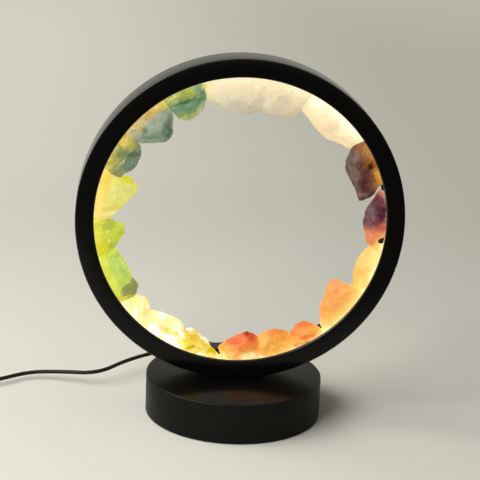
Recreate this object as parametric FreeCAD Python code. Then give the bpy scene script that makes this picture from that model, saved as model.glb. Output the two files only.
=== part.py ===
import FreeCAD, Part
import math
import os

V = FreeCAD.Vector

# A table lamp: an upright ring channel with a light strip inside, lined with rough stones, on a heavy base.
# Millimetres. The origin is on the table under the middle of the base, +Z is up and the front faces -Y.

# Ring channel: a front shell with the outer wall, closed at the back by a flat cover that is pushed in
RING_DIAMETER = 250.0
RING_DEPTH = 28.5
FLANGE_WIDTH = 13.0
FLANGE_THICKNESS = 1.6
RIM_WALL = 1.8
RIM_BEVEL = 0.5
COVER_FIT = 0.1

# Light strip and diffuser, in the channel. The strip lies in short flats, each with one light chip
DIFFUSER_DEPTH_IN_LIP = 4.0
DIFFUSER_THICKNESS = 1.4
DIFFUSER_FIT = 0.1
STRIP_WIDTH = 8.0
STRIP_THICKNESS = 0.4
STRIP_GAP_DEG = 24.0
GLUE = 0.05
CHIP_PITCH_DEG = 12.0
CHIP_LENGTH = 3.5
CHIP_WIDTH = 2.8
CHIP_HEIGHT = 0.8

# Stones
STONE_SIDE_GAP = 0.35
STONE_GLUE = 0.1
STONE_JOINT = 0.4
FACET_LEAN = 27.0
FACET_LEAN_SWING = 11.0
SIDE_LEAN = 9.0
CAP_LEAN = 9.0
RIDGE_SWING = 2.5
SEAT_FLATS = 3

# Base
BASE_DIAMETER = 137.0
BASE_HEIGHT = 31.8
BASE_WALL = 2.2
BASE_TOP = 2.6
BASE_BEVEL = 0.9
BASE_FLOOR_GAP = 0.8
PLATE_THICKNESS = 2.4
PLATE_FIT = 0.2
PLATE_SIDES = 48
PAD_THICKNESS = 1.6
PAD_MARGIN = 3.5
WEIGHT_HEIGHT = 9.0
WEIGHT_FIT = 0.3
WEIGHT_SIDES = 36
BASE_SCREWS = 3
BASE_BOSS_CIRCLE = 112.0
BASE_BOSS_DIAMETER = 9.0
BASE_SCREW_DIAMETER = 3.5
BASE_SCREW_LENGTH = 12.0
BASE_HEAD_DIAMETER = 6.6
BASE_HEAD_HEIGHT = 1.4

# Joint between ring and base: a hollow bolt from inside the channel, which the wires pass through
SEAT_GAP = 0.7
SEAT_FIT = 0.15
SEAT_LENGTH = 44.0
SEAT_WIDTH = 20.0
SADDLE_WIDTH = 18.0
SADDLE_THICKNESS = 1.2
BOLT_DIAMETER = 8.0
BOLT_BORE = 5.4
BOLT_HEAD_ACROSS = 13.0
BOLT_HEAD_HEIGHT = 2.0
BOLT_PAST_NUT = 1.6
NUT_ACROSS = 13.0
NUT_HEIGHT = 4.0
WASHER_WIDTH = 20.0
WASHER_THICKNESS = 1.4
HOLE_FIT = 0.3
THREAD_FIT = 0.05

# Lead inside the lamp
CORD_DIAMETER = 3.2
CORD_SIDES = 8
EXIT_HEIGHT = 16.0
WIRE_DIAMETER = 1.3
WIRE_SIDES = 4
WIRE_SPREAD = 1.7
WIRE_FIRST_BEND = 5.0
LEAD_END = 14.0

# Strain relief in the back of the base
RELIEF_FLANGE_DIAMETER = 9.6
RELIEF_FLANGE_THICKNESS = 1.4
RELIEF_WAIST_DIAMETER = 6.4
RELIEF_ROOT_DIAMETER = 7.8
RELIEF_TIP_DIAMETER = 4.6
RELIEF_SIDES = 12
RELIEF_LENGTH = 13.0

# Switch on the cord
SWITCH_PLACE = V(-234.0, 43.0, 0.0)
SWITCH_LENGTH = 46.0
SWITCH_WIDTH = 17.0
SWITCH_END_WIDTH = 9.0
SWITCH_TAPER = 9.0
SWITCH_HEIGHT = 12.0
SWITCH_SPLIT = 5.0
SWITCH_WALL = 1.5
SWITCH_BEVEL = 1.2
SWITCH_NIB_LENGTH = 5.0
SWITCH_NIB_DIAMETER = 6.0
ROCKER_RADIUS = 8.0
ROCKER_WIDTH = 7.6
ROCKER_TRAVEL_DEG = 18.0
ROCKER_GAP = 0.35
ROCKER_DISH = 2.6
ROCKER_TOP_DEG = 34.0
ROCKER_SKIRT_DEG = 14.0
PIVOT_HEIGHT = 8.8
PIVOT_DIAMETER = 2.0
PIVOT_FIT = 0.05
EAR_THICKNESS = 1.7
CONTACT_WIDTH = 4.0
CONTACT_THICKNESS = 0.6
CONTACT_LENGTH = 9.0
CONTACT_GAP = 3.0

# Plug
PLUG_PLACE = V(-236.0, -40.0, 0.0)
PLUG_BODY = V(24.0, 15.4, 7.8)
PLUG_BEVEL = 1.4
PLUG_NIB_LENGTH = 8.0
PLUG_NIB_DIAMETER = 5.4
PLUG_SHELL = V(11.8, 12.0, 4.5)
PLUG_SHELL_WALL = 0.3
PLUG_SHELL_IN_BODY = 3.0
PLUG_TONGUE_THICKNESS = 1.8
PLUG_TONGUE_GAP = 0.05
PLUG_TONGUE_SHORT = 1.0

# Coil of the put-away length
COIL_CENTRE = V(-266.0, -6.0, 0.0)
COIL_MIDDLE_RADIUS = 19.0
COIL_BUNDLE_WIDTH = 11.2
COIL_BUNDLE_HEIGHT = 13.4
COIL_SLACK = 0.2
COIL_LEAVES_DEG = 232.0
COIL_SIDES = 36
TIE_WIDTH = 6.0
TIE_THICKNESS = 0.8
TIE_GAP = 0.05

# The route of the cord, corner by corner: from the strain relief to the switch, from there to the coil, and
# from the coil to the plug
CORD_TO_SWITCH = (
    (0.0, 97.4, 16.0),
    (-10.5, 108.4, 15.6),
    (-25.0, 110.0, 15.0),
    (-48.0, 98.0, 14.2),
    (-82.2, 75.8, 12.6),
    (-106.2, 48.8, 10.6),
    (-133.5, 58.7, 7.8),
    (-163.4, 66.4, 4.6),
    (-190.5, 43.0, 5.0),
)
CORD_TO_COIL = (
    (-272.4, 43.0, 5.0),
    (-284.0, 36.5, 4.0),
    (-288.8, 24.6, 2.4),
)
CORD_TO_PLUG = (
    (-269.0, -32.6, 10.8),
    (-258.0, -38.6, 7.0),
    (-246.5, -40.0, 3.9),
)

# Each stone: its name, the angles where its seat starts and ends, and its crown as pairs of an angle and a
# height above the seat, in hundredths of the ring's radius. Angles run counter-clockwise round the ring as
# seen from the front, from the right.
STONES = (
    ("milky_quartz", 35.8, 62.3,
     ((35.0, 8.8), (36.6, 14.4), (43.0, 20.0), (48.0, 21.6), (57.0, 20.0), (63.2, 16.0))),
    ("clear_quartz", 62.7, 82.1,
     ((63.9, 18.4), (65.4, 22.4), (70.0, 25.6), (77.0, 27.2), (80.8, 26.4), (82.0, 23.2))),
    ("cloudy_quartz", 82.5, 107.0,
     ((82.8, 25.6), (85.0, 28.8), (87.5, 28.8), (94.0, 27.2), (105.0, 21.6), (106.8, 14.4))),
    ("green_fluorite", 107.4, 123.7,
     ((107.4, 14.4), (109.0, 19.2), (113.0, 24.0), (119.0, 24.8), (122.6, 20.0))),
    ("grey_fluorite", 124.1, 144.0,
     ((124.4, 16.8), (127.0, 22.4), (131.0, 25.6), (135.0, 27.2), (139.0, 23.2), (143.4, 16.0))),
    ("olive_fluorite", 144.4, 161.6,
     ((144.6, 16.8), (148.0, 20.8), (153.0, 21.6), (158.4, 18.0), (161.3, 13.6))),
    ("lime_calcite", 162.0, 181.0,
     ((161.2, 20.0), (161.8, 24.8), (163.8, 27.2), (166.0, 28.0), (170.0, 25.6), (180.2, 15.2))),
    ("lime_prehnite", 181.4, 198.0,
     ((182.6, 16.0), (185.4, 24.0), (191.0, 20.8), (195.0, 15.2), (196.8, 8.8))),
    ("green_calcite", 198.4, 217.6,
     ((195.7, 15.2), (203.0, 17.6), (212.0, 17.6), (216.4, 16.0), (218.8, 12.0), (219.0, 8.0))),
    ("pale_calcite", 218.2, 234.6,
     ((219.7, 12.0), (221.0, 15.2), (224.0, 16.0), (226.6, 13.6), (231.4, 7.2))),
    ("clear_citrine", 235.2, 247.8,
     ((227.6, 12.8), (229.4, 14.4), (233.0, 16.4), (238.0, 17.6), (243.0, 16.0), (246.0, 12.8))),
    ("golden_citrine", 248.2, 264.8,
     ((246.7, 13.6), (248.2, 16.0), (252.0, 14.4), (258.0, 9.6), (263.6, 5.6))),
    ("red_carnelian", 265.4, 280.0,
     ((264.4, 8.0), (265.6, 12.8), (269.0, 16.8), (272.0, 19.2), (277.0, 18.8), (280.2, 14.4))),
    ("orange_carnelian", 280.4, 293.4,
     ((280.8, 14.4), (283.0, 17.2), (286.5, 18.0), (292.4, 16.0), (293.7, 11.2))),
    ("streaked_carnelian", 293.9, 306.8,
     ((294.4, 10.4), (297.0, 14.0), (302.6, 14.0), (305.6, 10.4), (306.8, 6.4))),
    ("orange_calcite", 307.2, 330.6,
     ((308.2, 7.2), (311.2, 14.4), (315.0, 18.4), (320.0, 21.6), (326.0, 22.4), (328.4, 19.2))),
    ("peach_calcite", 331.2, 350.6,
     ((330.6, 7.2), (333.0, 12.0), (338.0, 15.6), (341.0, 15.6), (346.4, 11.6), (349.4, 8.0))),
    ("amethyst", 354.6, 371.8,
     ((349.4, 9.6), (350.4, 12.8), (354.0, 15.6), (358.0, 16.8), (363.0, 16.4), (371.0, 8.0))),
    ("smoky_amethyst", 15.6, 35.2,
     ((10.6, 14.4), (11.6, 19.2), (19.0, 21.6), (25.0, 22.4), (30.0, 20.0), (34.2, 12.8))),
)

RING_RADIUS = RING_DIAMETER / 2
BASE_RADIUS = BASE_DIAMETER / 2
BASE_INSIDE = BASE_RADIUS - BASE_WALL
LIP_RADIUS = RING_RADIUS - FLANGE_WIDTH
WALL_RADIUS = RING_RADIUS - RIM_WALL
RING_HEIGHT = BASE_HEIGHT + SEAT_GAP + RING_RADIUS
CHANNEL_HALF = RING_DEPTH / 2 - FLANGE_THICKNESS
SEAT_RADIUS = LIP_RADIUS + DIFFUSER_DEPTH_IN_LIP
STRIP_OUTSIDE = WALL_RADIUS - GLUE
BASE_UNDER_TOP = BASE_HEIGHT - BASE_TOP
PLATE_TOP = PAD_THICKNESS + PLATE_THICKNESS
CORD_RADIUS = CORD_DIAMETER / 2
BOOT_START = BASE_RADIUS + RELIEF_FLANGE_THICKNESS
RELIEF_TIP = BOOT_START + RELIEF_LENGTH
UP = V(0, 0, 1)
BACKWARD = V(0, 1, 0)
FAR = 400.0


def cylinder(diameter, start, direction, length):
    return Part.makeCylinder(diameter / 2, length, start, direction)


def box(low, high):
    return Part.makeBox(high.x - low.x, high.y - low.y, high.z - low.z, low)


def polygon_face(points):
    return Part.Face(Part.makePolygon(list(points) + [points[0]]))


def regular_corners(sides, radius, centre, direction):
    """A regular polygon across a direction, with a flat side towards the table where it runs level."""
    side = direction.cross(UP if abs(direction.z) < 0.7 * direction.Length else V(1, 0, 0)).normalize()
    rise = side.cross(direction).normalize()
    corners = []
    for k in range(sides):
        turn = math.radians(360 * (k + 0.5) / sides)
        corners.append(centre + side * radius * math.sin(turn) + rise * radius * math.cos(turn))
    return corners


def prism(sides, diameter, start, direction, length):
    """A plain upright prism with its corners on a diameter."""
    return polygon_face(regular_corners(sides, diameter / 2, start, direction)).extrude(direction * length)


def taper(sides, diameter, tip_diameter, start, direction, length):
    """A prism that narrows from one end to the other, of flat faces."""
    root = regular_corners(sides, diameter / 2, start, direction)
    tip = regular_corners(sides, tip_diameter / 2, start + direction * length, direction)
    faces = [polygon_face(root), polygon_face(tip)]
    for k in range(sides):
        faces.append(polygon_face([root[k - 1], root[k], tip[k], tip[k - 1]]))
    return Part.Solid(Part.makeShell(faces))


def screw(head_diameter, head_height, diameter, length):
    """A screw that points up from z = 0, the underside of its head. Its shank is plain, with six sides."""
    head = prism(12, head_diameter, V(0, 0, -head_height), UP, head_height)
    return head.fuse(prism(6, diameter, V(0, 0, 0), UP, length))


def ring_point(angle, radius, y=0.0):
    """A point round the ring's own axis, at an angle in degrees."""
    turn = math.radians(angle)
    return V(radius * math.cos(turn), y, RING_HEIGHT + radius * math.sin(turn))


def ring_revolve(profile, start=0.0, sweep=360.0):
    """Turns a profile of (radius, y) points round the ring's axis."""
    face = polygon_face([V(radius, y, 0) for radius, y in profile])
    turned = face.revolve(V(0, 0, 0), V(0, -1, 0), sweep)
    turned.rotate(V(0, 0, 0), V(0, -1, 0), start)
    turned.translate(V(0, 0, RING_HEIGHT))
    return turned


def ring_band(inner, outer, low, high, start=0.0, sweep=360.0):
    return ring_revolve([(inner, low), (outer, low), (outer, high), (inner, high)], start, sweep)


def upright_revolve(profile):
    """Turns a profile of (radius, z) points round the base's axis."""
    face = polygon_face([V(radius, 0, z) for radius, z in profile])
    return face.revolve(V(0, 0, 0), UP, 360)


def placed(shape, place, turn=None):
    """A copy of a shape, turned first and then moved."""
    copy = shape.copy()
    if turn:
        axis, angle = turn
        copy.rotate(V(0, 0, 0), axis, angle)
    copy.translate(place)
    return copy


def cord_path(points):
    """Straight runs joined by tangent arcs, each as large as its two runs allow."""
    edges = []
    radii = []
    last = points[0]
    for before, corner, after in zip(points, points[1:], points[2:]):
        back = (before - corner).normalize()
        on = (after - corner).normalize()
        half_turn = (math.pi - back.getAngle(on)) / 2
        set_back = 0.45 * min((before - corner).Length, (after - corner).Length)
        radius = set_back / math.tan(half_turn)
        middle = corner + (back + on).normalize() * radius * (1 / math.cos(half_turn) - 1)
        start = corner + back * set_back
        end = corner + on * set_back
        edges.append(Part.LineSegment(last, start).toShape())
        edges.append(Part.Arc(start, middle, end).toShape())
        radii.append(radius)
        last = end
    edges.append(Part.LineSegment(last, points[-1]).toShape())
    return Part.Wire(edges), radii


def tube(name, points, diameter, sides):
    """A cord's solid along a path, with its volume held against its section times its length."""
    path, radii = cord_path(points)
    corners = regular_corners(sides, diameter / 2, points[0], (points[1] - points[0]).normalize())
    solid = path.makePipeShell([Part.makePolygon(corners + [corners[0]])], True, False)
    wanted = polygon_face(corners).Area * path.Length
    print(name, "length", round(path.Length, 1), "radii", [round(radius, 1) for radius in radii],
          "volume over section times length", round(solid.Volume / wanted, 4))
    return solid


def ring_parts():
    front = -RING_DEPTH / 2
    back = RING_DEPTH / 2
    shell = ring_revolve([
        (LIP_RADIUS, front), (RING_RADIUS - RIM_BEVEL, front), (RING_RADIUS, front + RIM_BEVEL),
        (RING_RADIUS, back), (WALL_RADIUS, back), (WALL_RADIUS, -CHANNEL_HALF), (LIP_RADIUS, -CHANNEL_HALF),
    ])
    shell = shell.cut(cylinder(BOLT_DIAMETER + HOLE_FIT, V(0, 0, BASE_HEIGHT), UP, FLANGE_WIDTH))
    cover = ring_band(LIP_RADIUS, WALL_RADIUS - COVER_FIT, CHANNEL_HALF, back)

    diffuser_half = CHANNEL_HALF - DIFFUSER_FIT
    diffuser = ring_band(SEAT_RADIUS, SEAT_RADIUS + DIFFUSER_THICKNESS, -diffuser_half, diffuser_half)

    strip_start = 270 + STRIP_GAP_DEG / 2
    chip_count = int((360 - STRIP_GAP_DEG) // CHIP_PITCH_DEG)
    corners = [strip_start + k * CHIP_PITCH_DEG for k in range(chip_count + 1)]
    front_edge = V(0, -STRIP_WIDTH / 2, 0)
    outside = [ring_point(angle, STRIP_OUTSIDE) + front_edge for angle in corners]
    inside = [ring_point(angle, STRIP_OUTSIDE - STRIP_THICKNESS) + front_edge for angle in corners]
    strip = polygon_face(outside + inside[::-1]).extrude(BACKWARD * STRIP_WIDTH)

    chips = []
    chip_foot = (STRIP_OUTSIDE - STRIP_THICKNESS) * math.cos(math.radians(CHIP_PITCH_DEG / 2))
    for corner in corners[:-1]:
        chip = box(V(-CHIP_LENGTH / 2, -CHIP_WIDTH / 2, -chip_foot),
                   V(CHIP_LENGTH / 2, CHIP_WIDTH / 2, CHIP_HEIGHT - chip_foot))
        chips.append(placed(chip, V(0, 0, RING_HEIGHT), (V(0, -1, 0), corner + CHIP_PITCH_DEG / 2 + 90)))

    return {
        "ring_shell": shell,
        "ring_back_cover": cover,
        "diffuser_band": diffuser,
        "light_strip": strip,
        "light_chips": Part.makeCompound(chips),
    }


def keep_inside(solid, point, outward):
    """Cuts away what lies beyond the plane through a point."""
    block = Part.makeBox(FAR, FAR, FAR, V(-FAR / 2, -FAR / 2, 0))
    block.Placement = FreeCAD.Placement(point, FreeCAD.Rotation(V(0, 0, 1), outward))
    return solid.cut(block)


def wave(*numbers):
    """A repeatable value from -1 to 1 that looks random from one facet to the next."""
    mixed = sum(number * step for number, step in zip(numbers, (0.618034, 0.414214, 0.302776)))
    return 2 * (mixed % 1) - 1


def stone(index, seat_start, seat_end, crown):
    """One rough stone: a block cut to its outline, with each edge broken into a front and a back facet."""
    half = CHANNEL_HALF - STONE_SIDE_GAP
    sunk = SEAT_RADIUS + 2
    outline = [ring_point(seat_start, sunk)]
    outline += [ring_point(angle, SEAT_RADIUS - height * RING_RADIUS / 100) for angle, height in crown]
    outline += [ring_point(seat_end, sunk)]
    middle = ring_point((seat_start + seat_end) / 2, SEAT_RADIUS)
    inward = (V(0, 0, RING_HEIGHT) - middle).normalize()
    solid = polygon_face([p - V(0, half, 0) for p in outline]).extrude(V(0, 2 * half, 0))

    last_edge = len(outline) - 2
    for k, (start, end) in enumerate(zip(outline, outline[1:])):
        outward = (end - start).cross(V(0, 1, 0)).normalize()
        on_side = k in (0, last_edge)
        shift = STONE_JOINT / 2 if on_side else 0
        ridge = start - outward * shift + V(0, RIDGE_SWING * wave(index, k), 0)
        for facing, which in ((-1, 1), (1, 2)):
            lean = SIDE_LEAN if on_side else FACET_LEAN
            lean += (FACET_LEAN_SWING if not on_side else SIDE_LEAN / 2) * wave(index, k, which)
            tilt = math.radians(lean)
            normal = outward * math.cos(tilt) + V(0, facing, 0) * math.sin(tilt)
            solid = keep_inside(solid, ridge, normal)
    for facing, which in ((-1, 5), (1, 8)):
        tilt = math.radians(CAP_LEAN + CAP_LEAN / 2 * wave(index, which))
        normal = V(0, facing, 0) * math.cos(tilt) + inward * math.sin(tilt)
        solid = keep_inside(solid, middle + V(0, facing * half, 0), normal)
    half_flat = (seat_end - seat_start) / SEAT_FLATS / 2
    flat_radius = (SEAT_RADIUS - STONE_GLUE) * math.cos(math.radians(half_flat))
    for k in range(SEAT_FLATS):
        on_seat = ring_point(seat_start + (2 * k + 1) * half_flat, flat_radius)
        solid = keep_inside(solid, on_seat, (on_seat - V(0, 0, RING_HEIGHT)).normalize())
    return solid


def stones():
    parts = {}
    for index, (name, seat_start, seat_end, crown) in enumerate(STONES):
        parts[name] = stone(index, seat_start, seat_end, crown)
    return parts


def seat_parts():
    """The pad between ring and base, and the hollow bolt with its saddle, washer and nut."""
    ring_solid = cylinder(RING_DIAMETER + 2 * SEAT_FIT, V(0, -RING_DEPTH, RING_HEIGHT), BACKWARD, 2 * RING_DEPTH)
    wall_inside = cylinder(2 * (WALL_RADIUS - GLUE), V(0, -RING_DEPTH, RING_HEIGHT), BACKWARD, 2 * RING_DEPTH)
    passage = cylinder(BOLT_DIAMETER + HOLE_FIT, V(0, 0, 0), UP, RING_HEIGHT)
    pad = box(V(-SEAT_LENGTH / 2, -SEAT_WIDTH / 2, BASE_HEIGHT),
              V(SEAT_LENGTH / 2, SEAT_WIDTH / 2, RING_HEIGHT - RING_RADIUS / 2))
    pad = pad.cut(ring_solid).cut(passage)

    saddle_top = RING_HEIGHT - WALL_RADIUS + SADDLE_THICKNESS
    saddle = box(V(-SADDLE_WIDTH / 2, -SADDLE_WIDTH / 2, BASE_HEIGHT),
                 V(SADDLE_WIDTH / 2, SADDLE_WIDTH / 2, saddle_top))
    saddle = saddle.common(wall_inside).cut(passage)

    washer_low = BASE_UNDER_TOP - WASHER_THICKNESS
    washer = box(V(-WASHER_WIDTH / 2, -WASHER_WIDTH / 2, washer_low),
                 V(WASHER_WIDTH / 2, WASHER_WIDTH / 2, BASE_UNDER_TOP)).cut(passage)
    nut_low = washer_low - NUT_HEIGHT
    hexagon = 2 / math.sqrt(3)
    thread_hole = cylinder(BOLT_DIAMETER + 2 * THREAD_FIT, V(0, 0, nut_low), UP, NUT_HEIGHT)
    nut = prism(6, NUT_ACROSS * hexagon, V(0, 0, nut_low), UP, NUT_HEIGHT).cut(thread_hole)
    bolt_low = nut_low - BOLT_PAST_NUT
    bolt = cylinder(BOLT_DIAMETER, V(0, 0, bolt_low), UP, saddle_top - bolt_low)
    bolt = bolt.fuse(prism(6, BOLT_HEAD_ACROSS * hexagon, V(0, 0, saddle_top), UP, BOLT_HEAD_HEIGHT))
    bolt = bolt.cut(cylinder(BOLT_BORE, V(0, 0, bolt_low), UP, saddle_top + BOLT_HEAD_HEIGHT - bolt_low))
    return {
        "ring_seat_pad": pad,
        "ring_saddle": saddle,
        "ring_bolt": bolt,
        "bolt_washer": washer,
        "bolt_nut": nut,
    }


def boss_places():
    """The screw bosses under the base's top, with none at the back where the lead comes in."""
    places = []
    for k in range(BASE_SCREWS):
        turn = math.radians(-90 + k * 360 / BASE_SCREWS)
        places.append(V(math.cos(turn), math.sin(turn), 0) * BASE_BOSS_CIRCLE / 2)
    return places


def base_parts():
    shell = upright_revolve([
        (0, BASE_HEIGHT), (BASE_RADIUS - BASE_BEVEL, BASE_HEIGHT), (BASE_RADIUS, BASE_HEIGHT - BASE_BEVEL),
        (BASE_RADIUS, BASE_FLOOR_GAP), (BASE_INSIDE, BASE_FLOOR_GAP), (BASE_INSIDE, BASE_UNDER_TOP),
        (0, BASE_UNDER_TOP),
    ])
    plate = prism(PLATE_SIDES, 2 * (BASE_INSIDE - PLATE_FIT), V(0, 0, PAD_THICKNESS), UP, PLATE_THICKNESS)
    head_top = PAD_THICKNESS + BASE_HEAD_HEIGHT
    body = screw(BASE_HEAD_DIAMETER, BASE_HEAD_HEIGHT, BASE_SCREW_DIAMETER, BASE_SCREW_LENGTH)
    screws = []
    boss_length = BASE_UNDER_TOP - PLATE_TOP
    hole_top = head_top + BASE_SCREW_LENGTH + THREAD_FIT
    for place in boss_places():
        shell = shell.fuse(prism(8, BASE_BOSS_DIAMETER, place + UP * PLATE_TOP, UP, boss_length))
    for place in boss_places():
        hole = cylinder(BASE_SCREW_DIAMETER + 2 * THREAD_FIT, place, UP, hole_top)
        shell = shell.cut(hole)
        plate = plate.cut(hole)
        plate = plate.cut(cylinder(BASE_HEAD_DIAMETER + HOLE_FIT, place, UP, head_top))
        screws.append(placed(body, place + UP * head_top))

    shell = shell.cut(cylinder(BOLT_DIAMETER + HOLE_FIT, V(0, 0, BASE_UNDER_TOP), UP, BASE_TOP))
    behind_wall = V(0, BASE_INSIDE - BASE_WALL, EXIT_HEIGHT)
    shell = shell.cut(cylinder(RELIEF_WAIST_DIAMETER, behind_wall, BACKWARD, 3 * BASE_WALL))

    weight_diameter = BASE_BOSS_CIRCLE - BASE_BOSS_DIAMETER - 2 * WEIGHT_FIT
    return {
        "base_shell": shell,
        "base_weight": prism(WEIGHT_SIDES, weight_diameter, V(0, 0, PLATE_TOP), UP, WEIGHT_HEIGHT),
        "base_bottom_plate": plate,
        "bottom_plate_screws": Part.makeCompound(screws),
        "foot_pad": cylinder(2 * (BASE_INSIDE - PAD_MARGIN), V(0, 0, 0), UP, PAD_THICKNESS),
    }


def lead_parts():
    """The strain relief, the lead behind it, and its two wires up through the bolt to the light strip."""
    inner_face = math.sqrt(BASE_INSIDE ** 2 - (RELIEF_FLANGE_DIAMETER / 2) ** 2)
    relief_start = inner_face - RELIEF_FLANGE_THICKNESS
    axis_point = UP * EXIT_HEIGHT
    waist_length = BASE_RADIUS - inner_face
    waist_start = axis_point + BACKWARD * inner_face
    relief = prism(RELIEF_SIDES, RELIEF_WAIST_DIAMETER, waist_start, BACKWARD, waist_length)
    for flange_start in (relief_start, BASE_RADIUS):
        relief = relief.fuse(prism(RELIEF_SIDES, RELIEF_FLANGE_DIAMETER, axis_point + BACKWARD * flange_start,
                                   BACKWARD, RELIEF_FLANGE_THICKNESS))
    relief = relief.fuse(taper(RELIEF_SIDES, RELIEF_ROOT_DIAMETER, RELIEF_TIP_DIAMETER,
                               axis_point + BACKWARD * BOOT_START, BACKWARD, RELIEF_LENGTH))

    lead = prism(CORD_SIDES, CORD_DIAMETER, V(0, LEAD_END, EXIT_HEIGHT), BACKWARD, relief_start - LEAD_END)

    wire_radius = WIRE_DIAMETER / 2
    strip_end = ring_point(270 + STRIP_GAP_DEG / 2, STRIP_OUTSIDE - STRIP_THICKNESS - wire_radius)
    under_diffuser = RING_HEIGHT - SEAT_RADIUS - DIFFUSER_THICKNESS - DIFFUSER_FIT - wire_radius
    wires = []
    for side in (-1, 1):
        offset = side * WIRE_SPREAD / 2
        points = [
            V(0, LEAD_END, EXIT_HEIGHT + offset), V(0, offset, EXIT_HEIGHT + offset),
            V(0, offset, under_diffuser), V(WIRE_FIRST_BEND, offset, under_diffuser),
            V(strip_end.x, offset, strip_end.z),
        ]
        wires.append(tube("wire", points, WIRE_DIAMETER, WIRE_SIDES))
    return {
        "strain_relief": relief,
        "inner_lead": lead,
        "strip_wires": Part.makeCompound(wires),
    }


def level_edges(shape, level):
    """The edges that lie at one height."""
    return [e for e in shape.Edges
            if abs(e.BoundBox.ZMin - level) < 1e-6 and abs(e.BoundBox.ZMax - level) < 1e-6]


def rocker_solid():
    """The rocker about its own pivot: a sector with a dished top and a pin on each side."""
    half_width = ROCKER_WIDTH / 2
    pin_reach = half_width + ROCKER_GAP + EAR_THICKNESS

    def rim(side):
        turns = [math.radians(turn) for turn in
                 (-ROCKER_SKIRT_DEG, (ROCKER_TOP_DEG - ROCKER_SKIRT_DEG) / 2, ROCKER_TOP_DEG)]
        return [V(side * ROCKER_RADIUS * math.cos(turn), -half_width, ROCKER_RADIUS * math.sin(turn))
                for turn in turns]

    right = rim(1)
    left = rim(-1)
    dish = V(0, -half_width, ROCKER_DISH)
    outline = Part.Wire([
        Part.LineSegment(left[0], right[0]).toShape(), Part.Arc(*right).toShape(),
        Part.LineSegment(right[2], dish).toShape(), Part.LineSegment(dish, left[2]).toShape(),
        Part.Arc(*reversed(left)).toShape(),
    ])
    body = Part.Face(outline).extrude(BACKWARD * ROCKER_WIDTH)
    return body.fuse(cylinder(PIVOT_DIAMETER, V(0, -pin_reach, 0), BACKWARD, 2 * pin_reach))


def switch_parts():
    """A rocker switch on the cord, built about its own middle with the cord along X."""
    half_length = SWITCH_LENGTH / 2
    half_width = SWITCH_WIDTH / 2
    half_end = SWITCH_END_WIDTH / 2
    flat = half_length - SWITCH_TAPER
    plan = [V(flat, -half_width, 0), V(half_length, -half_end, 0), V(half_length, half_end, 0),
            V(flat, half_width, 0), V(-flat, half_width, 0), V(-half_length, half_end, 0),
            V(-half_length, -half_end, 0), V(-flat, -half_width, 0)]
    outside = polygon_face(plan).extrude(UP * SWITCH_HEIGHT)
    outside = outside.makeChamfer(SWITCH_BEVEL, level_edges(outside, SWITCH_HEIGHT))
    outside = outside.makeChamfer(SWITCH_BEVEL / 2, level_edges(outside, 0))
    for side in (-1, 1):
        outside = outside.fuse(prism(8, SWITCH_NIB_DIAMETER, V(side * half_length, 0, SWITCH_SPLIT),
                                     V(side, 0, 0), SWITCH_NIB_LENGTH))
    inside = box(V(-flat, SWITCH_WALL - half_width, SWITCH_WALL),
                 V(flat, half_width - SWITCH_WALL, SWITCH_HEIGHT - SWITCH_WALL))
    below = box(V(-FAR, -FAR, -FAR), V(FAR, FAR, SWITCH_SPLIT))
    hollow = outside.cut(inside)
    lower = hollow.common(below)
    upper = hollow.cut(below)

    window_half = ROCKER_RADIUS + ROCKER_GAP
    ear_inner = ROCKER_WIDTH / 2 + ROCKER_GAP
    ear_foot = PIVOT_HEIGHT - PIVOT_DIAMETER
    ear_outer = ear_inner + EAR_THICKNESS
    ears = box(V(-window_half, -ear_outer, ear_foot), V(window_half, ear_outer, SWITCH_HEIGHT - SWITCH_WALL))
    upper = upper.fuse(ears)
    upper = upper.cut(box(V(-window_half, -ear_inner, 0), V(window_half, ear_inner, SWITCH_HEIGHT)))
    upper = upper.cut(cylinder(PIVOT_DIAMETER + 2 * PIVOT_FIT, V(0, -ear_outer, PIVOT_HEIGHT), BACKWARD,
                               2 * ear_outer))

    rocker = placed(rocker_solid(), V(0, 0, PIVOT_HEIGHT), (V(0, 1, 0), -ROCKER_TRAVEL_DEG / 2))
    contacts = []
    for side in (-1, 1):
        x0, x1 = sorted((side * CONTACT_GAP / 2, side * (CONTACT_GAP / 2 + CONTACT_LENGTH)))
        contacts.append(box(V(x0, -CONTACT_WIDTH / 2, SWITCH_WALL),
                            V(x1, CONTACT_WIDTH / 2, SWITCH_WALL + CONTACT_THICKNESS)))
    parts = {
        "switch_lower": lower,
        "switch_upper": upper,
        "switch_rocker": rocker,
        "switch_contacts": Part.makeCompound(contacts),
    }
    return {name: placed(shape, SWITCH_PLACE) for name, shape in parts.items()}


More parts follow.
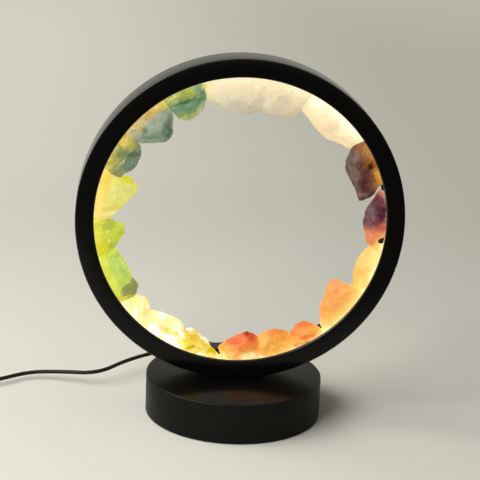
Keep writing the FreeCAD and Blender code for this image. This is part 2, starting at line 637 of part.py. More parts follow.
def plug_parts():
    """The plug on the end of the cord, built with the cord's end at the origin and the plug along +X."""
    level = PLUG_BODY.z / 2
    start = PLUG_NIB_LENGTH
    end = start + PLUG_BODY.x
    body = box(V(start, -PLUG_BODY.y / 2, 0), V(end, PLUG_BODY.y / 2, PLUG_BODY.z))
    kept = [e for e in body.Edges if e.BoundBox.XMin > end - 1e-6]
    body = body.makeChamfer(PLUG_BEVEL, [e for e in body.Edges if not any(e.isSame(k) for k in kept)])
    nib = prism(8, PLUG_NIB_DIAMETER, V(0, 0, level), V(1, 0, 0), PLUG_NIB_LENGTH)

    half_y = PLUG_SHELL.y / 2
    half_z = PLUG_SHELL.z / 2
    shell_start = end - PLUG_SHELL_IN_BODY
    shell_end = end + PLUG_SHELL.x
    wall = PLUG_SHELL_WALL
    sleeve = box(V(shell_start, -half_y, level - half_z), V(shell_end, half_y, level + half_z))
    inside = box(V(shell_start, wall - half_y, level - half_z + wall),
                 V(shell_end, half_y - wall, level + half_z - wall))
    tongue_y = half_y - wall - PLUG_TONGUE_GAP
    tongue_low = level - half_z + wall + PLUG_TONGUE_GAP
    tongue = box(V(shell_start, -tongue_y, tongue_low),
                 V(shell_end - PLUG_TONGUE_SHORT, tongue_y, tongue_low + PLUG_TONGUE_THICKNESS))
    parts = {
        "plug_body": body.fuse(nib).cut(sleeve),
        "plug_shell": sleeve.cut(inside),
        "plug_tongue": tongue,
    }
    return {name: placed(shape, PLUG_PLACE) for name, shape in parts.items()}


def cord_parts():
    """The cord outside the lamp: three plain tubes, and one ring for the coil between the last two."""
    nib_end = V(SWITCH_LENGTH / 2 + SWITCH_NIB_LENGTH, 0, 0)
    cord_level = UP * SWITCH_SPLIT
    outer_turn = COIL_MIDDLE_RADIUS + COIL_BUNDLE_WIDTH / 2 - CORD_RADIUS - COIL_SLACK
    leaves = math.radians(COIL_LEAVES_DEG)
    coil_in = COIL_CENTRE + V(-outer_turn, 0, CORD_RADIUS)
    coil_out = COIL_CENTRE + V(outer_turn * math.cos(leaves), outer_turn * math.sin(leaves),
                               COIL_BUNDLE_HEIGHT - CORD_RADIUS - COIL_SLACK)
    to_switch = [V(0, RELIEF_TIP, EXIT_HEIGHT)] + [V(*point) for point in CORD_TO_SWITCH]
    to_switch.append(SWITCH_PLACE + nib_end + cord_level)
    to_coil = [SWITCH_PLACE - nib_end + cord_level] + [V(*point) for point in CORD_TO_COIL] + [coil_in]
    to_plug = [coil_out] + [V(*point) for point in CORD_TO_PLUG] + [PLUG_PLACE + UP * PLUG_BODY.z / 2]

    inner = COIL_MIDDLE_RADIUS - COIL_BUNDLE_WIDTH / 2
    outer = COIL_MIDDLE_RADIUS + COIL_BUNDLE_WIDTH / 2
    coil = prism(COIL_SIDES, 2 * outer, V(0, 0, 0), UP, COIL_BUNDLE_HEIGHT)
    coil = coil.cut(prism(COIL_SIDES, 2 * inner, V(0, 0, 0), UP, COIL_BUNDLE_HEIGHT))

    tie_in = math.sqrt(inner ** 2 - (TIE_WIDTH / 2) ** 2) - TIE_GAP
    hole = box(V(tie_in, -FAR, -TIE_GAP), V(outer + TIE_GAP, FAR, COIL_BUNDLE_HEIGHT + TIE_GAP))
    side = TIE_GAP + TIE_THICKNESS
    tie = box(V(tie_in - TIE_THICKNESS, -TIE_WIDTH / 2, 0),
              V(outer + side, TIE_WIDTH / 2, COIL_BUNDLE_HEIGHT + side))
    return {
        "cord_to_switch": tube("cord_to_switch", to_switch, CORD_DIAMETER, CORD_SIDES),
        "cord_to_coil": tube("cord_to_coil", to_coil, CORD_DIAMETER, CORD_SIDES),
        "cord_to_plug": tube("cord_to_plug", to_plug, CORD_DIAMETER, CORD_SIDES),
        "cord_coil": placed(coil, COIL_CENTRE),
        "coil_tie": placed(tie.cut(hole), COIL_CENTRE),
    }


def main():
    parts = ring_parts()
    parts.update(stones())
    parts.update(seat_parts())
    parts.update(base_parts())
    parts.update(lead_parts())
    parts.update(switch_parts())
    parts.update(plug_parts())
    parts.update(cord_parts())
    os.makedirs("parts", exist_ok=True)
    for name, shape in parts.items():
        if not shape.isValid():
            print("not valid:", name)
        shape.exportStep(os.path.join("parts", name + ".step"))
    print(len(parts), "nodes")


main()
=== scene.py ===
# A table lamp: rough stones of many colours glued round the inside of an upright black ring, lit from behind
# by a strip of lights, on a heavy round base, with a thin black cord that ends in a plug.
import math

import bmesh
import bpy
from mathutils import Matrix, Vector, noise


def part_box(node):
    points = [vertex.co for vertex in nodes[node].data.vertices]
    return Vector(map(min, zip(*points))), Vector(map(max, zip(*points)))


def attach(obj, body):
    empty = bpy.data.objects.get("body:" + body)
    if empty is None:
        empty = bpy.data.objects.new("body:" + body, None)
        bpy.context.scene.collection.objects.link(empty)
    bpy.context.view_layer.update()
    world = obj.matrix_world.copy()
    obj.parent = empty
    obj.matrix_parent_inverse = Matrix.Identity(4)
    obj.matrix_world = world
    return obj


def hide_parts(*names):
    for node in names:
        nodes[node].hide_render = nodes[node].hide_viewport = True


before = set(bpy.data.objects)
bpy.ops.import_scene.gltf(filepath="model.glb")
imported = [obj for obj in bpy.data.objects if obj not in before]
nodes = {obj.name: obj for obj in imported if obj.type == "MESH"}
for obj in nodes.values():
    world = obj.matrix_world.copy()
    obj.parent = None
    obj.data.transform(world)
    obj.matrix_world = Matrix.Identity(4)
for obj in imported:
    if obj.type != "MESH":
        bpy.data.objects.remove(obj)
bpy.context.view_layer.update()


# The viewpoint: a long lens a little over a metre in front of the lamp, above it and to its left, and held a
# touch off level.
def add_object(name, data):
    """An object in the scene, at the origin."""
    thing = bpy.data.objects.new(name, data)
    bpy.context.collection.objects.link(thing)
    return thing


lens = bpy.data.cameras.new("viewpoint")
lens.lens = 118.75
lens.sensor_width = 36.0
viewpoint = add_object("viewpoint", lens)
eye = Vector((-0.09572, -1.15996, 0.48179))
pan, tilt, roll = 0.083, 0.2856, 0.0409
ahead = Vector((math.sin(pan) * math.cos(tilt), math.cos(pan) * math.cos(tilt), -math.sin(tilt)))
level = Vector((math.cos(pan), -math.sin(pan), 0.0))
above = level.cross(ahead)
across_view = level * math.cos(roll) + above * math.sin(roll)
up_view = above * math.cos(roll) - level * math.sin(roll)
facing = Matrix((across_view, up_view, -ahead)).transposed().to_4x4()
viewpoint.matrix_world = Matrix.Translation(eye) @ facing
bpy.context.scene.camera = viewpoint


# The cord is a round two-core lead in soft black plastic. From the boot it swings round the back of the base
# and out to the left, and its switch and the put-away coil lie just outside the view.
class Wire:
    """A socket in a finish. Arithmetic on it adds Math nodes."""

    def __init__(self, finish, socket):
        self.finish = finish
        self.socket = socket

    def reckon(self, operation, first, second):
        return self.finish.node("Math", {"operation": operation}, {0: first, 1: second})

    def __add__(self, other):
        return self.reckon("ADD", self, other)

    def __sub__(self, other):
        return self.reckon("SUBTRACT", self, other)

    def __rsub__(self, other):
        return self.reckon("SUBTRACT", other, self)

    def __mul__(self, other):
        return self.reckon("MULTIPLY", self, other)

    def __truediv__(self, other):
        return self.reckon("DIVIDE", self, other)

    def __pow__(self, other):
        return self.reckon("POWER", self, other)

    __radd__ = __add__
    __rmul__ = __mul__

    def step(self, low, high):
        """Rises smoothly from 0 to 1 between two values."""
        return self.finish.node("MapRange", {"interpolation_type": "SMOOTHSTEP"},
                                {0: self, 1: low, 2: high})


class Finish:
    """A material on the general shader, with one method that adds any node."""

    def __init__(self, name, **constants):
        self.material = bpy.data.materials.new(name)
        self.material.use_nodes = True
        self.tree = self.material.node_tree
        self.shader = self.tree.nodes["Principled BSDF"]
        self.set({key.replace("_", " "): value for key, value in constants.items()})
        self.place = self.node("TexCoord", output="Object")

    def feed(self, node, values):
        for key, value in values.items():
            socket = node.inputs[key]
            if isinstance(value, Wire):
                self.tree.links.new(value.socket, socket)
            elif socket.type == "RGBA":
                socket.default_value = (*value, 1.0)
            else:
                socket.default_value = value

    def set(self, values):
        self.feed(self.shader, values)

    def node(self, kind, settings=None, values=None, output=0):
        node = self.tree.nodes.new("ShaderNode" + kind)
        for key, value in (settings or {}).items():
            setattr(node, key, value)
        self.feed(node, values or {})
        return Wire(self, node.outputs[output])

    def noise(self, scale, detail=3.0, place=None):
        return self.node("TexNoise", None, {"Vector": place or self.place, "Scale": scale, "Detail": detail})

    def cells(self, scale, feature="F1", place=None, output=0):
        return self.node("TexVoronoi", {"feature": feature}, {"Vector": place or self.place, "Scale": scale},
                         output)

    def ramp(self, factor, first, *stops):
        """Colours along a factor: the first at 0, then (position, colour) stops."""
        wire = self.node("ValToRGB", None, {0: factor})
        elements = wire.socket.node.color_ramp.elements
        elements.remove(elements[1])
        elements[0].color = (*first, 1.0)
        for position, colour in stops:
            elements.new(position).color = (*colour, 1.0)
        return wire

    def mix(self, factor, first, second):
        return self.node("Mix", {"data_type": "RGBA"}, {0: factor, 6: first, 7: second}, 2)

    def relief(self, height, depth, strength=1.0):
        normal = self.node("Bump", None, {"Height": height, "Distance": depth, "Strength": strength})
        self.set({"Normal": normal})

    def axes(self, place=None):
        """A place's x, y and z."""
        split = self.tree.nodes.new("ShaderNodeSeparateXYZ")
        self.tree.links.new((place or self.place).socket, split.inputs[0])
        return [Wire(self, split.outputs[k]) for k in range(3)]

    def scaled(self, colour, by):
        return self.node("VectorMath", {"operation": "SCALE"}, {0: colour, "Scale": by})

    def stirred(self, scale, amount, place=None):
        """The place, pushed about by a noise, so that nothing laid out on it has a ruled edge."""
        push = self.node("TexNoise", None, {"Vector": self.place, "Scale": scale, "Detail": 4.0}, 1)
        push = self.node("VectorMath", {"operation": "SUBTRACT"}, {0: push, 1: (0.5, 0.5, 0.5)})
        return self.node("VectorMath", {"operation": "MULTIPLY_ADD"},
                         {0: push, 1: (amount, amount, amount), 2: place or self.place})

    def laid(self, place, x, z, wide, high, turn):
        """A place counted from a spot on the lamp's face, in half widths and half heights in millimetres. Its
        depth hardly counts."""
        return self.node("Mapping", {"vector_type": "TEXTURE"}, {
            "Vector": place, "Location": (x / 1000, 0.0, z / 1000),
            "Rotation": (0.0, -math.radians(turn), 0.0), "Scale": (wide / 1000, 0.06, high / 1000)})

    def patch(self, place, x, z, wide, high, turn, sharp):
        """1 inside an ellipse on the lamp's face, 0 outside."""
        away = self.node("VectorMath", {"operation": "LENGTH"},
                         {0: self.laid(place, x, z, wide, high, turn)}, 1)
        softness = 0.6 * (1 - sharp)
        return away.step(1 + softness, 1 - softness)


def shade(red, green, blue):
    """A colour as it is seen on a screen, from 0 to 255, as the shader takes it."""
    return tuple(value / 3294.6 if value < 10.3 else ((value / 255 + 0.055) / 1.055) ** 2.4
                 for value in (red, green, blue))


def add_piece(name, data, finish, stands_for=(), body="lamp"):
    """A finished piece, at the origin, with its place in its mesh or curve."""
    piece = add_object(name, data)
    data.materials.append(finish.material)
    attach(piece, body)
    if stands_for:
        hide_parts(*stands_for)
    return piece


def lay_cord(name, points, diameter):
    """A cord along a smooth line through the middle of its route."""
    curve = bpy.data.curves.new(name, "CURVE")
    curve.dimensions = "3D"
    curve.bevel_depth = diameter / 2
    curve.bevel_resolution = 5
    curve.use_fill_caps = True
    spline = curve.splines.new("NURBS")
    spline.points.add(len(points) - 1)
    for control, point in zip(spline.points, points):
        control.co = (*point, 1.0)
    spline.order_u = 3
    spline.use_endpoint_u = True
    spline.resolution_u = 8
    return curve


cord_diameter = 0.0032
cord_black = Finish("cord_black", Base_Color=(0.011, 0.01, 0.0065), Specular_IOR_Level=0.2)
cord_black.set({"Roughness": 0.36 + 0.16 * cord_black.noise(900.0)})
cord_black.relief(cord_black.noise(1600.0, 2.0), 0.00008)

route_to_switch = [
    (0.0, 0.0815, 0.016), (0.0, 0.0974, 0.016), (-0.0105, 0.1084, 0.0156), (-0.025, 0.110, 0.015),
    (-0.048, 0.098, 0.0142), (-0.0822, 0.0758, 0.0126), (-0.1062, 0.0488, 0.0106), (-0.1335, 0.0587, 0.0078),
    (-0.1634, 0.0664, 0.0046), (-0.1905, 0.043, 0.005), (-0.2075, 0.043, 0.005),
]
lead = add_piece("lead_to_switch", lay_cord("lead_to_switch", route_to_switch, cord_diameter), cord_black,
                 ["cord_to_switch"])

coil_centre = Vector((-0.266, -0.006))
coil_outer, coil_inner = 0.0228, 0.0152
coil_turns = 9 + 52 / 360
coil_layers = 4
turns_a_layer = coil_turns / coil_layers
layer_height = 0.0033
climb = 0.12
points_a_turn = 18
route_to_plug = [(-0.2605, 0.043, 0.005), (-0.2724, 0.043, 0.005), (-0.284, 0.0365, 0.004),
                 (-0.2888, 0.0246, 0.0024)]
coil_points = round(coil_turns * points_a_turn)
for count in range(coil_points + 1):
    turned_by = coil_turns * count / coil_points
    layer = min(int(turned_by / turns_a_layer), coil_layers - 1)
    share = turned_by / turns_a_layer - layer
    inwards = share if layer % 2 == 0 else 1 - share
    radius = coil_outer + (coil_inner - coil_outer) * inwards
    risen = layer if layer == 0 else layer - 1 + min(share * turns_a_layer / climb, 1)
    turn = math.pi + math.tau * turned_by
    route_to_plug.append((coil_centre.x + radius * math.cos(turn), coil_centre.y + radius * math.sin(turn),
                          cord_diameter / 2 + layer_height * risen))
route_to_plug += [(-0.269, -0.0326, 0.0108), (-0.258, -0.0386, 0.007), (-0.2465, -0.040, 0.0039),
                  (-0.2345, -0.040, 0.0039)]
coiled = add_piece("lead_coil_to_plug", lay_cord("lead_coil_to_plug", route_to_plug, cord_diameter),
                   cord_black, ["cord_to_coil", "cord_coil", "cord_to_plug"])


# The ring is a pressed steel channel: a front flange and an outer wall in one piece, powder coated in satin
# black, with its rims rolled over a little, and a flat cover pushed in at the back.
def to_mesh(shape, name):
    mesh = bpy.data.meshes.new(name)
    shape.to_mesh(mesh)
    shape.free()
    return mesh


def round_off(shape, edges, offset, segments, **more):
    bmesh.ops.bevel(shape, geom=edges, offset=offset, segments=segments, profile=0.5, affect="EDGES",
                    material=-1, **more)


def smooth_by_angle(mesh, limit=40):
    """Soft shading, with creases only where faces meet at more than a limit in degrees."""
    shape = bmesh.new()
    shape.from_mesh(mesh)
    for face in shape.faces:
        face.smooth = True
    for edge in shape.edges:
        edge.smooth = len(edge.link_faces) == 2 and edge.calc_face_angle(0) < math.radians(limit)
    shape.to_mesh(mesh)
    shape.free()


def turned(name, loop, centre, axis, steps):
    """A closed profile of (place along the axis, radius, rounding) corners, turned once round an axis."""
    side = Vector((0, 0, 1)) if abs(axis.z) < 0.5 else Vector((1, 0, 0))
    shape = bmesh.new()
    corners = [shape.verts.new(centre + axis * along + side * radius) for along, radius, rounding in loop]
    for first, second in zip(corners, corners[1:] + corners[:1]):
        shape.edges.new((first, second))
    bmesh.ops.spin(shape, geom=shape.verts[:] + shape.edges[:], cent=centre, axis=axis, angle=math.tau,
                   steps=steps, use_merge=True)
    bmesh.ops.remove_doubles(shape, verts=shape.verts[:], dist=1e-7)
    bmesh.ops.recalc_face_normals(shape, faces=shape.faces[:])

    def spot(vertex):
        along = (vertex.co - centre).dot(axis)
        radius = (vertex.co - centre - axis * along).length
        return round(along * 1e5), round(radius * 1e5)

    for size in sorted({rounding for along, radius, rounding in loop if rounding}):
        spots = {(round(along * 1e5), round(radius * 1e5)) for along, radius, rounding in loop
                 if rounding == size}
        rims = [edge for edge in shape.edges
                if spot(edge.verts[0]) in spots and spot(edge.verts[0]) == spot(edge.verts[1])]
        round_off(shape, rims, size, 4)
    bmesh.ops.recalc_face_normals(shape, faces=shape.faces[:])
    mesh = to_mesh(shape, name)
    smooth_by_angle(mesh)
    return mesh


ring_centre = Vector((0.0, 0.0, 0.1575))
forward, backward, upward = Vector((0.0, -1.0, 0.0)), Vector((0.0, 1.0, 0.0)), Vector((0.0, 0.0, 1.0))
ring_outer, wall_inside, lip_radius, rolled_lip = 0.125, 0.1232, 0.112, 0.1109
ring_half, channel_half, lip_half = 0.01425, 0.01265, 0.0118
ring_paint = Finish("ring_paint", Base_Color=(0.0014, 0.0012, 0.001), Specular_IOR_Level=0.05,
                    Coat_Roughness=0.2)
ring_x, _, ring_z = ring_paint.axes()
ring_z = ring_z - ring_centre.z
from_middle = (ring_x * ring_x + ring_z * ring_z) ** 0.5
rubbed = from_middle.step(0.1236, 0.1246) + from_middle.step(0.1122, 0.1113)
ring_paint.set({"Roughness": 0.36 + 0.1 * ring_paint.noise(60.0), "Coat Weight": 0.25 + 0.5 * rubbed})
ring_paint.relief(ring_paint.noise(2600.0, 1.0) + 0.4 * ring_paint.noise(700.0), 0.00004)
ring_front = turned("ring_front", [
    (ring_half, rolled_lip, 0.0011), (ring_half, ring_outer, 0.0005), (-ring_half, ring_outer, 0.0004),
    (-ring_half, wall_inside, 0.0003), (channel_half, wall_inside, 0), (channel_half, lip_radius, 0),
    (lip_half, lip_radius, 0), (lip_half, rolled_lip, 0.0003),
], ring_centre, forward, 256)
add_piece("ring_front_shell", ring_front, ring_paint, ["ring_shell"])
cover_radius = 0.1231
ring_back = turned("ring_back", [
    (-channel_half, lip_radius, 0.0004), (-channel_half, cover_radius, 0),
    (-ring_half, cover_radius, 0.0004), (-ring_half, lip_radius, 0.0005),
], ring_centre, forward, 256)
add_piece("ring_back_plate", ring_back, ring_paint, ["ring_back_cover"])


# The light strip is glued round inside the wall, one warm white light to each flat, behind a milky band of
# plastic that the stones are glued to.
def repaint(name, finish):
    """A piece whose shape is already right gets its finish."""
    for slot in nodes[name].material_slots:
        slot.material = finish.material


warm_white = shade(255, 226, 160)
# The band's glow is painted light: an emission standing in for the strip's light shining through the plastic.
band = Finish("diffuser", Base_Color=(0.8, 0.72, 0.55), Roughness=0.5, Emission_Strength=1.0,
              Subsurface_Weight=0.2, Subsurface_Scale=0.002)
band.set({"Emission Color": band.mix(band.noise(120.0), shade(255, 205, 120), shade(255, 228, 165))})
band.relief(band.noise(900.0), 0.00005)
repaint("diffuser_band", band)
strip = Finish("light_strip", Roughness=0.45)
strip.set({"Base Color": strip.mix(strip.cells(300.0).step(0.3, 0.4), (0.5, 0.28, 0.07), (0.78, 0.74, 0.62))})
strip.relief(strip.noise(800.0), 0.00005)
repaint("light_strip", strip)
chip = Finish("light_chips", Base_Color=(0.9, 0.7, 0.2), Roughness=0.3, Emission_Strength=4.0)
chip.set({"Emission Color": chip.mix(chip.noise(1500.0), warm_white, shade(255, 214, 120))})
repaint("light_chips", chip)


# The stones are rough pieces of quartz, fluorite, calcite, citrine and carnelian, split and not polished.
# Each glows with painted light, an emission standing in for the band behind shining through it, and has
# its own patches, bands and flaws.
noise.seed_set(3)


def chipped(point, size, seed):
    """A flake's height above the stone: flat within one flake, and tilted its own way. The factors only keep
    one stone's noise apart from another's."""
    spread = Vector((seed * 3.7, seed * 1.9, seed * 5.3))
    flake = noise.voronoi(point / size + spread)[1][0]
    lean = noise.noise_vector(flake * 7.31 + spread)
    return (point / size + spread - flake).dot(lean) + 0.3 * noise.noise(flake * 5.17)


def from_axis(point):
    """A place's distance from the line through the ring's middle."""
    return math.hypot(point.x, point.z - ring_centre.z)


# Corners that reach further than their plain blocks: (x, z, how far round, shift in x, shift in z), in
# millimetres.
drawn_out = {
    "milky_quartz": [(80.7, 216.5, 5, 0.3, -1.6), (70.6, 221, 5, 0.3, 0.9)],
    "cloudy_quartz": [(11.4, 242.4, 5, 1.6, 0)],
    "clear_quartz": [(12.9, 242.4, 5, -0.8, 0)],
    "green_fluorite": [(-33, 241, 8, 1.6, -0.8), (-41, 235, 6, 0.6, -1.4), (-31.4, 241, 5, -0.8, 0.6)],
    "grey_fluorite": [(-57, 222, 8, 1.2, -1.0)],
    "olive_fluorite": [(-86, 198, 9, 1.2, -1.2), (-92.5, 190.5, 5, 0.0, -2.8), (-103, 193, 7, 0, 2.6)],
    "lime_calcite": [(-84, 194, 9, 1.8, 2.2), (-103, 193, 8, 0, 2.6), (-79, 182, 8, 0.8, 0),
                     (-85.5, 191, 7, 0.4, 3.2), (-81.5, 188.5, 6, 1.2, 2.4)],
    "lime_prehnite": [(-86.7, 152, 5, 0.8, 0.6)],
    "green_calcite": [(-78, 104, 7, 1.6, -0.3), (-88, 92, 8, 0.8, 4.2)],
    "pale_calcite": [(-71, 88, 8, 1.5, 0), (-78, 98.5, 6, 0.3, -1.8)],
    "clear_citrine": [(-67, 86.5, 6, 0, 3.0), (-46, 70, 8, 2.2, 1.2)],
    "golden_citrine": [(-33, 67, 9, 2.2, 2.2), (-25, 59, 9, 2.8, 0.9)],
    "red_carnelian": [(8, 68.5, 6, 0, 0.8), (-14, 52, 6, -1.5, 0), (-6.3, 64.5, 7, 0.3, -1.2)],
    "orange_carnelian": [(20, 69, 7, 0.3, -2.2)],
    "orange_calcite": [(73, 112, 8, -1.2, 2.2), (87, 109, 9, 0.3, -3.0), (70, 110, 5, 1.2, 1.4),
                       (65, 97.5, 9, 1.5, 0), (63, 78, 8, 1.8, 0)],
    "peach_calcite": [(87.3, 119, 8, 1.4, 0)],
    "amethyst": [(107.5, 143.5, 7, -1.0, 3.6), (96, 143, 6, 0.4, -1.2), (94.5, 146, 5, 1.0, 0),
                 (103.5, 142, 4.5, -0.4, 1.8), (99, 177, 6, 1.2, -1.6)],
    "smoky_amethyst": [(104, 182, 9, -2.2, 3.0), (91, 177, 7, -0.4, -3.0), (79.5, 205, 6, -0.6, 0),
                       (106, 186, 5, -0.5, 2.6), (98.5, 182, 5, 0.5, -0.9)],
}


splits_a_stone = 12
split_depths = (0.001, 0.003)
stone_voxel = 0.0006
small_flakes, small_share, fine_share = 0.4, 0.4, 0.25
rim_zone = 0.0015
side_swell, swell_ends, swell_fades = 0.0012, 0.02, 0.01


def own_shape(name):
    """A node's own shape, with its corners joined."""
    shape = bmesh.new()
    shape.from_mesh(nodes[name].data)
    bmesh.ops.remove_doubles(shape, verts=shape.verts[:], dist=1e-6)
    return shape


def modified(mesh, kind, **settings):
    """The mesh after one modifier."""
    block = add_object(mesh.name + "_block", mesh)
    modifier = block.modifiers.new(kind.lower(), kind)
    for key, value in settings.items():
        setattr(modifier, key, value)
    bpy.context.view_layer.update()
    result = bpy.data.meshes.new_from_object(block.evaluated_get(bpy.context.evaluated_depsgraph_get()))
    bpy.data.objects.remove(block)
    return result


def clamped(value):
    return min(max(value, 0.0), 1.0)


def rough_stone(name, seed, flake_size, flake_depth):
    """The stone's own block, split across its front and back, then flaked in two sizes."""
    shape = own_shape(name)
    middle = sum((vertex.co for vertex in shape.verts), Vector()) / len(shape.verts)
    outwards = Vector((middle.x, 0.0, middle.z - ring_centre.z)).normalized()
    for count in range(splits_a_stone):
        split = noise.noise_vector(Vector((seed * 4.1 + count * 2.3, count * 3.9, seed * 1.7))) * 2.2
        split -= outwards * max(split.dot(outwards), 0.0)
        split.y = 0.8 if count % 3 == 0 else -0.8
        split.normalize()
        reach = max(vertex.co.dot(split) for vertex in shape.verts)
        depth = split_depths[0] + split_depths[1] * abs(noise.noise(Vector((count * 1.7, seed * 2.9, 0.4))))
        cut = bmesh.ops.bisect_plane(shape, geom=shape.verts[:] + shape.edges[:] + shape.faces[:],
                                     plane_co=split * (reach - depth), plane_no=split, clear_outer=True)
        rim = [edge for edge in cut["geom_cut"] if isinstance(edge, bmesh.types.BMEdge)]
        if rim:
            bmesh.ops.holes_fill(shape, edges=rim, sides=0)
    bmesh.ops.triangulate(shape, faces=shape.faces[:])
    dense = modified(to_mesh(shape, name), "REMESH", mode="VOXEL", voxel_size=stone_voxel)

    shape = bmesh.new()
    shape.from_mesh(dense)
    bmesh.ops.smooth_vert(shape, verts=shape.verts[:], factor=0.4, use_axis_x=True, use_axis_y=True,
                          use_axis_z=True)
    shape.normal_update()
    moves = []
    along = Vector((-outwards.z, 0.0, outwards.x))
    for vertex in shape.verts:
        height = chipped(vertex.co, flake_size, seed)
        height += small_share * chipped(vertex.co, flake_size * small_flakes, seed + 9)
        height += fine_share * noise.noise(vertex.co * 800)
        inside = lip_radius - from_axis(vertex.co)
        free = clamped(inside / rim_zone)
        spread = side_swell * clamped((swell_ends - inside) / swell_fades)
        aside = Vector((vertex.normal.x, 0.0, vertex.normal.z))
        moves.append(vertex.normal * free * (0.0002 + flake_depth * height) + aside * free * 0.0004
                     + along * vertex.normal.dot(along) * spread)
    for vertex, move in zip(shape.verts, moves):
        vertex.co += move
        for x, z, reach, shift_x, shift_z in drawn_out.get(name, ()):
            away = math.hypot(vertex.co.x - x / 1000, vertex.co.z - z / 1000) * 1000 / reach
            pull = clamped(1 - away * away) ** 2 / 1000
            vertex.co += Vector((shift_x * pull, 0.0, shift_z * pull))
    shape.to_mesh(dense)
    shape.free()
    dense.name = name
    smooth_by_angle(dense, 22)
    return dense


glow_reach = 0.034
body_at, tip_at = 0.36, 0.9
flaw_scale, flaw_width = 110.0, 0.035
rim_tone = (255, 242, 176)
band_length, band_width = 14.0, 1.6
# Painted shading: the way towards the lights, to which a stone's faces are painted brighter.
lit_side = (-0.4, -0.5, 0.77)
softly_lit, brightly_lit, lip_boost = 0.55, 0.7, 0.14


def crystal(name, near, body, tip, band_turn, lit, grain, patches):
    """A translucent stone with painted light: its glow, standing in for the band's light through it, runs
    through three colours from the lip inwards, with patches over them, each (x, z, half width, half height
    in millimetres, turn, colour, share, sharpness). Grain is how much its bands, clouds and chips show. A
    stone that is neither dark nor bright is painted to glow more near the lip."""
    finish = Finish(name, Emission_Strength=1.0, Subsurface_Weight=0.15, Subsurface_Scale=0.004,
                    Coat_Weight=0.06, Coat_Roughness=0.2, Specular_IOR_Level=0.2)
    place = finish.stirred(140.0, 0.005)
    x, _, z = finish.axes(place)
    z = z - ring_centre.z
    inwards = (lip_radius - (x * x + z * z) ** 0.5) / glow_reach
    glow = finish.ramp(inwards + 0.3 * min(grain, 1.0) * (finish.noise(90.0) - 0.5), shade(*near),
                       (body_at, shade(*body)), (tip_at, shade(*tip)))

    # Patches with ragged edges, mixing the stone's own tints with painted bright and dark spots of light,
    #     thin pale flaws here and there, and a painted pale rim of light where the band shines in.
    ragged = finish.stirred(520.0, 0.0022 * grain, place)
    for *ellipse, colour, share, sharp in patches:
        glow = finish.mix(share * finish.patch(ragged, *ellipse, sharp), glow, shade(*colour))
    flaws = 1 - finish.cells(flaw_scale, "DISTANCE_TO_EDGE", place).step(0.0, flaw_width)
    flaws = flaws * finish.noise(75.0).step(0.48, 0.62)
    glow = finish.mix(min(0.3 * grain, 0.3) * flaws, glow, shade(*near))
    rim = inwards.step(0.075, 0.0) * finish.noise(160.0).step(0.3, 0.6)
    glow = finish.mix(min(0.9 * min(near) / 200, 0.8) * rim, glow, shade(*rim_tone))

    # Bands, clouds and chips stir the painted glow, and painted shading makes the side towards the lights
    #     a little brighter.
    bands = finish.noise(1.0, 4.0, finish.laid(place, 0.0, 0.0, band_length, band_width, band_turn))
    facing = finish.node("VectorMath", {"operation": "DOT_PRODUCT"},
                         {0: finish.node("TexCoord", output="Normal"), 1: lit_side}, 1)
    chips = finish.cells(210.0, place=place, output=1)
    stir = 0.34 * bands + 0.34 * finish.noise(130.0, 5.0) + 0.4 * finish.noise(560.0, 4.0) + 0.36 * chips
    light = 0.95 + grain * (stir - 0.75) + 0.16 * facing + 0.3 * inwards.step(0.3, 0.0)
    glow = finish.node("Gamma", None, {0: glow, 1: 1.6 - 0.6 * light})
    more_at_lip = lip_boost if softly_lit < lit < brightly_lit else 0.0
    strength = lit + more_at_lip * inwards.step(0.34, 0.04)
    # The painted glow is the emission, and a share of it is the base colour too.
    finish.set({"Emission Color": finish.scaled(glow, strength * (0.45 + 0.55 * light)),
                "Base Color": finish.scaled(glow, 0.6 * lit),
                "Roughness": 0.26 + 0.3 * finish.noise(400.0)})
    finish.relief(finish.noise(420.0, 5.0) + 0.3 * bands + 0.3 * flaws, 0.0003, 0.6)
    return finish


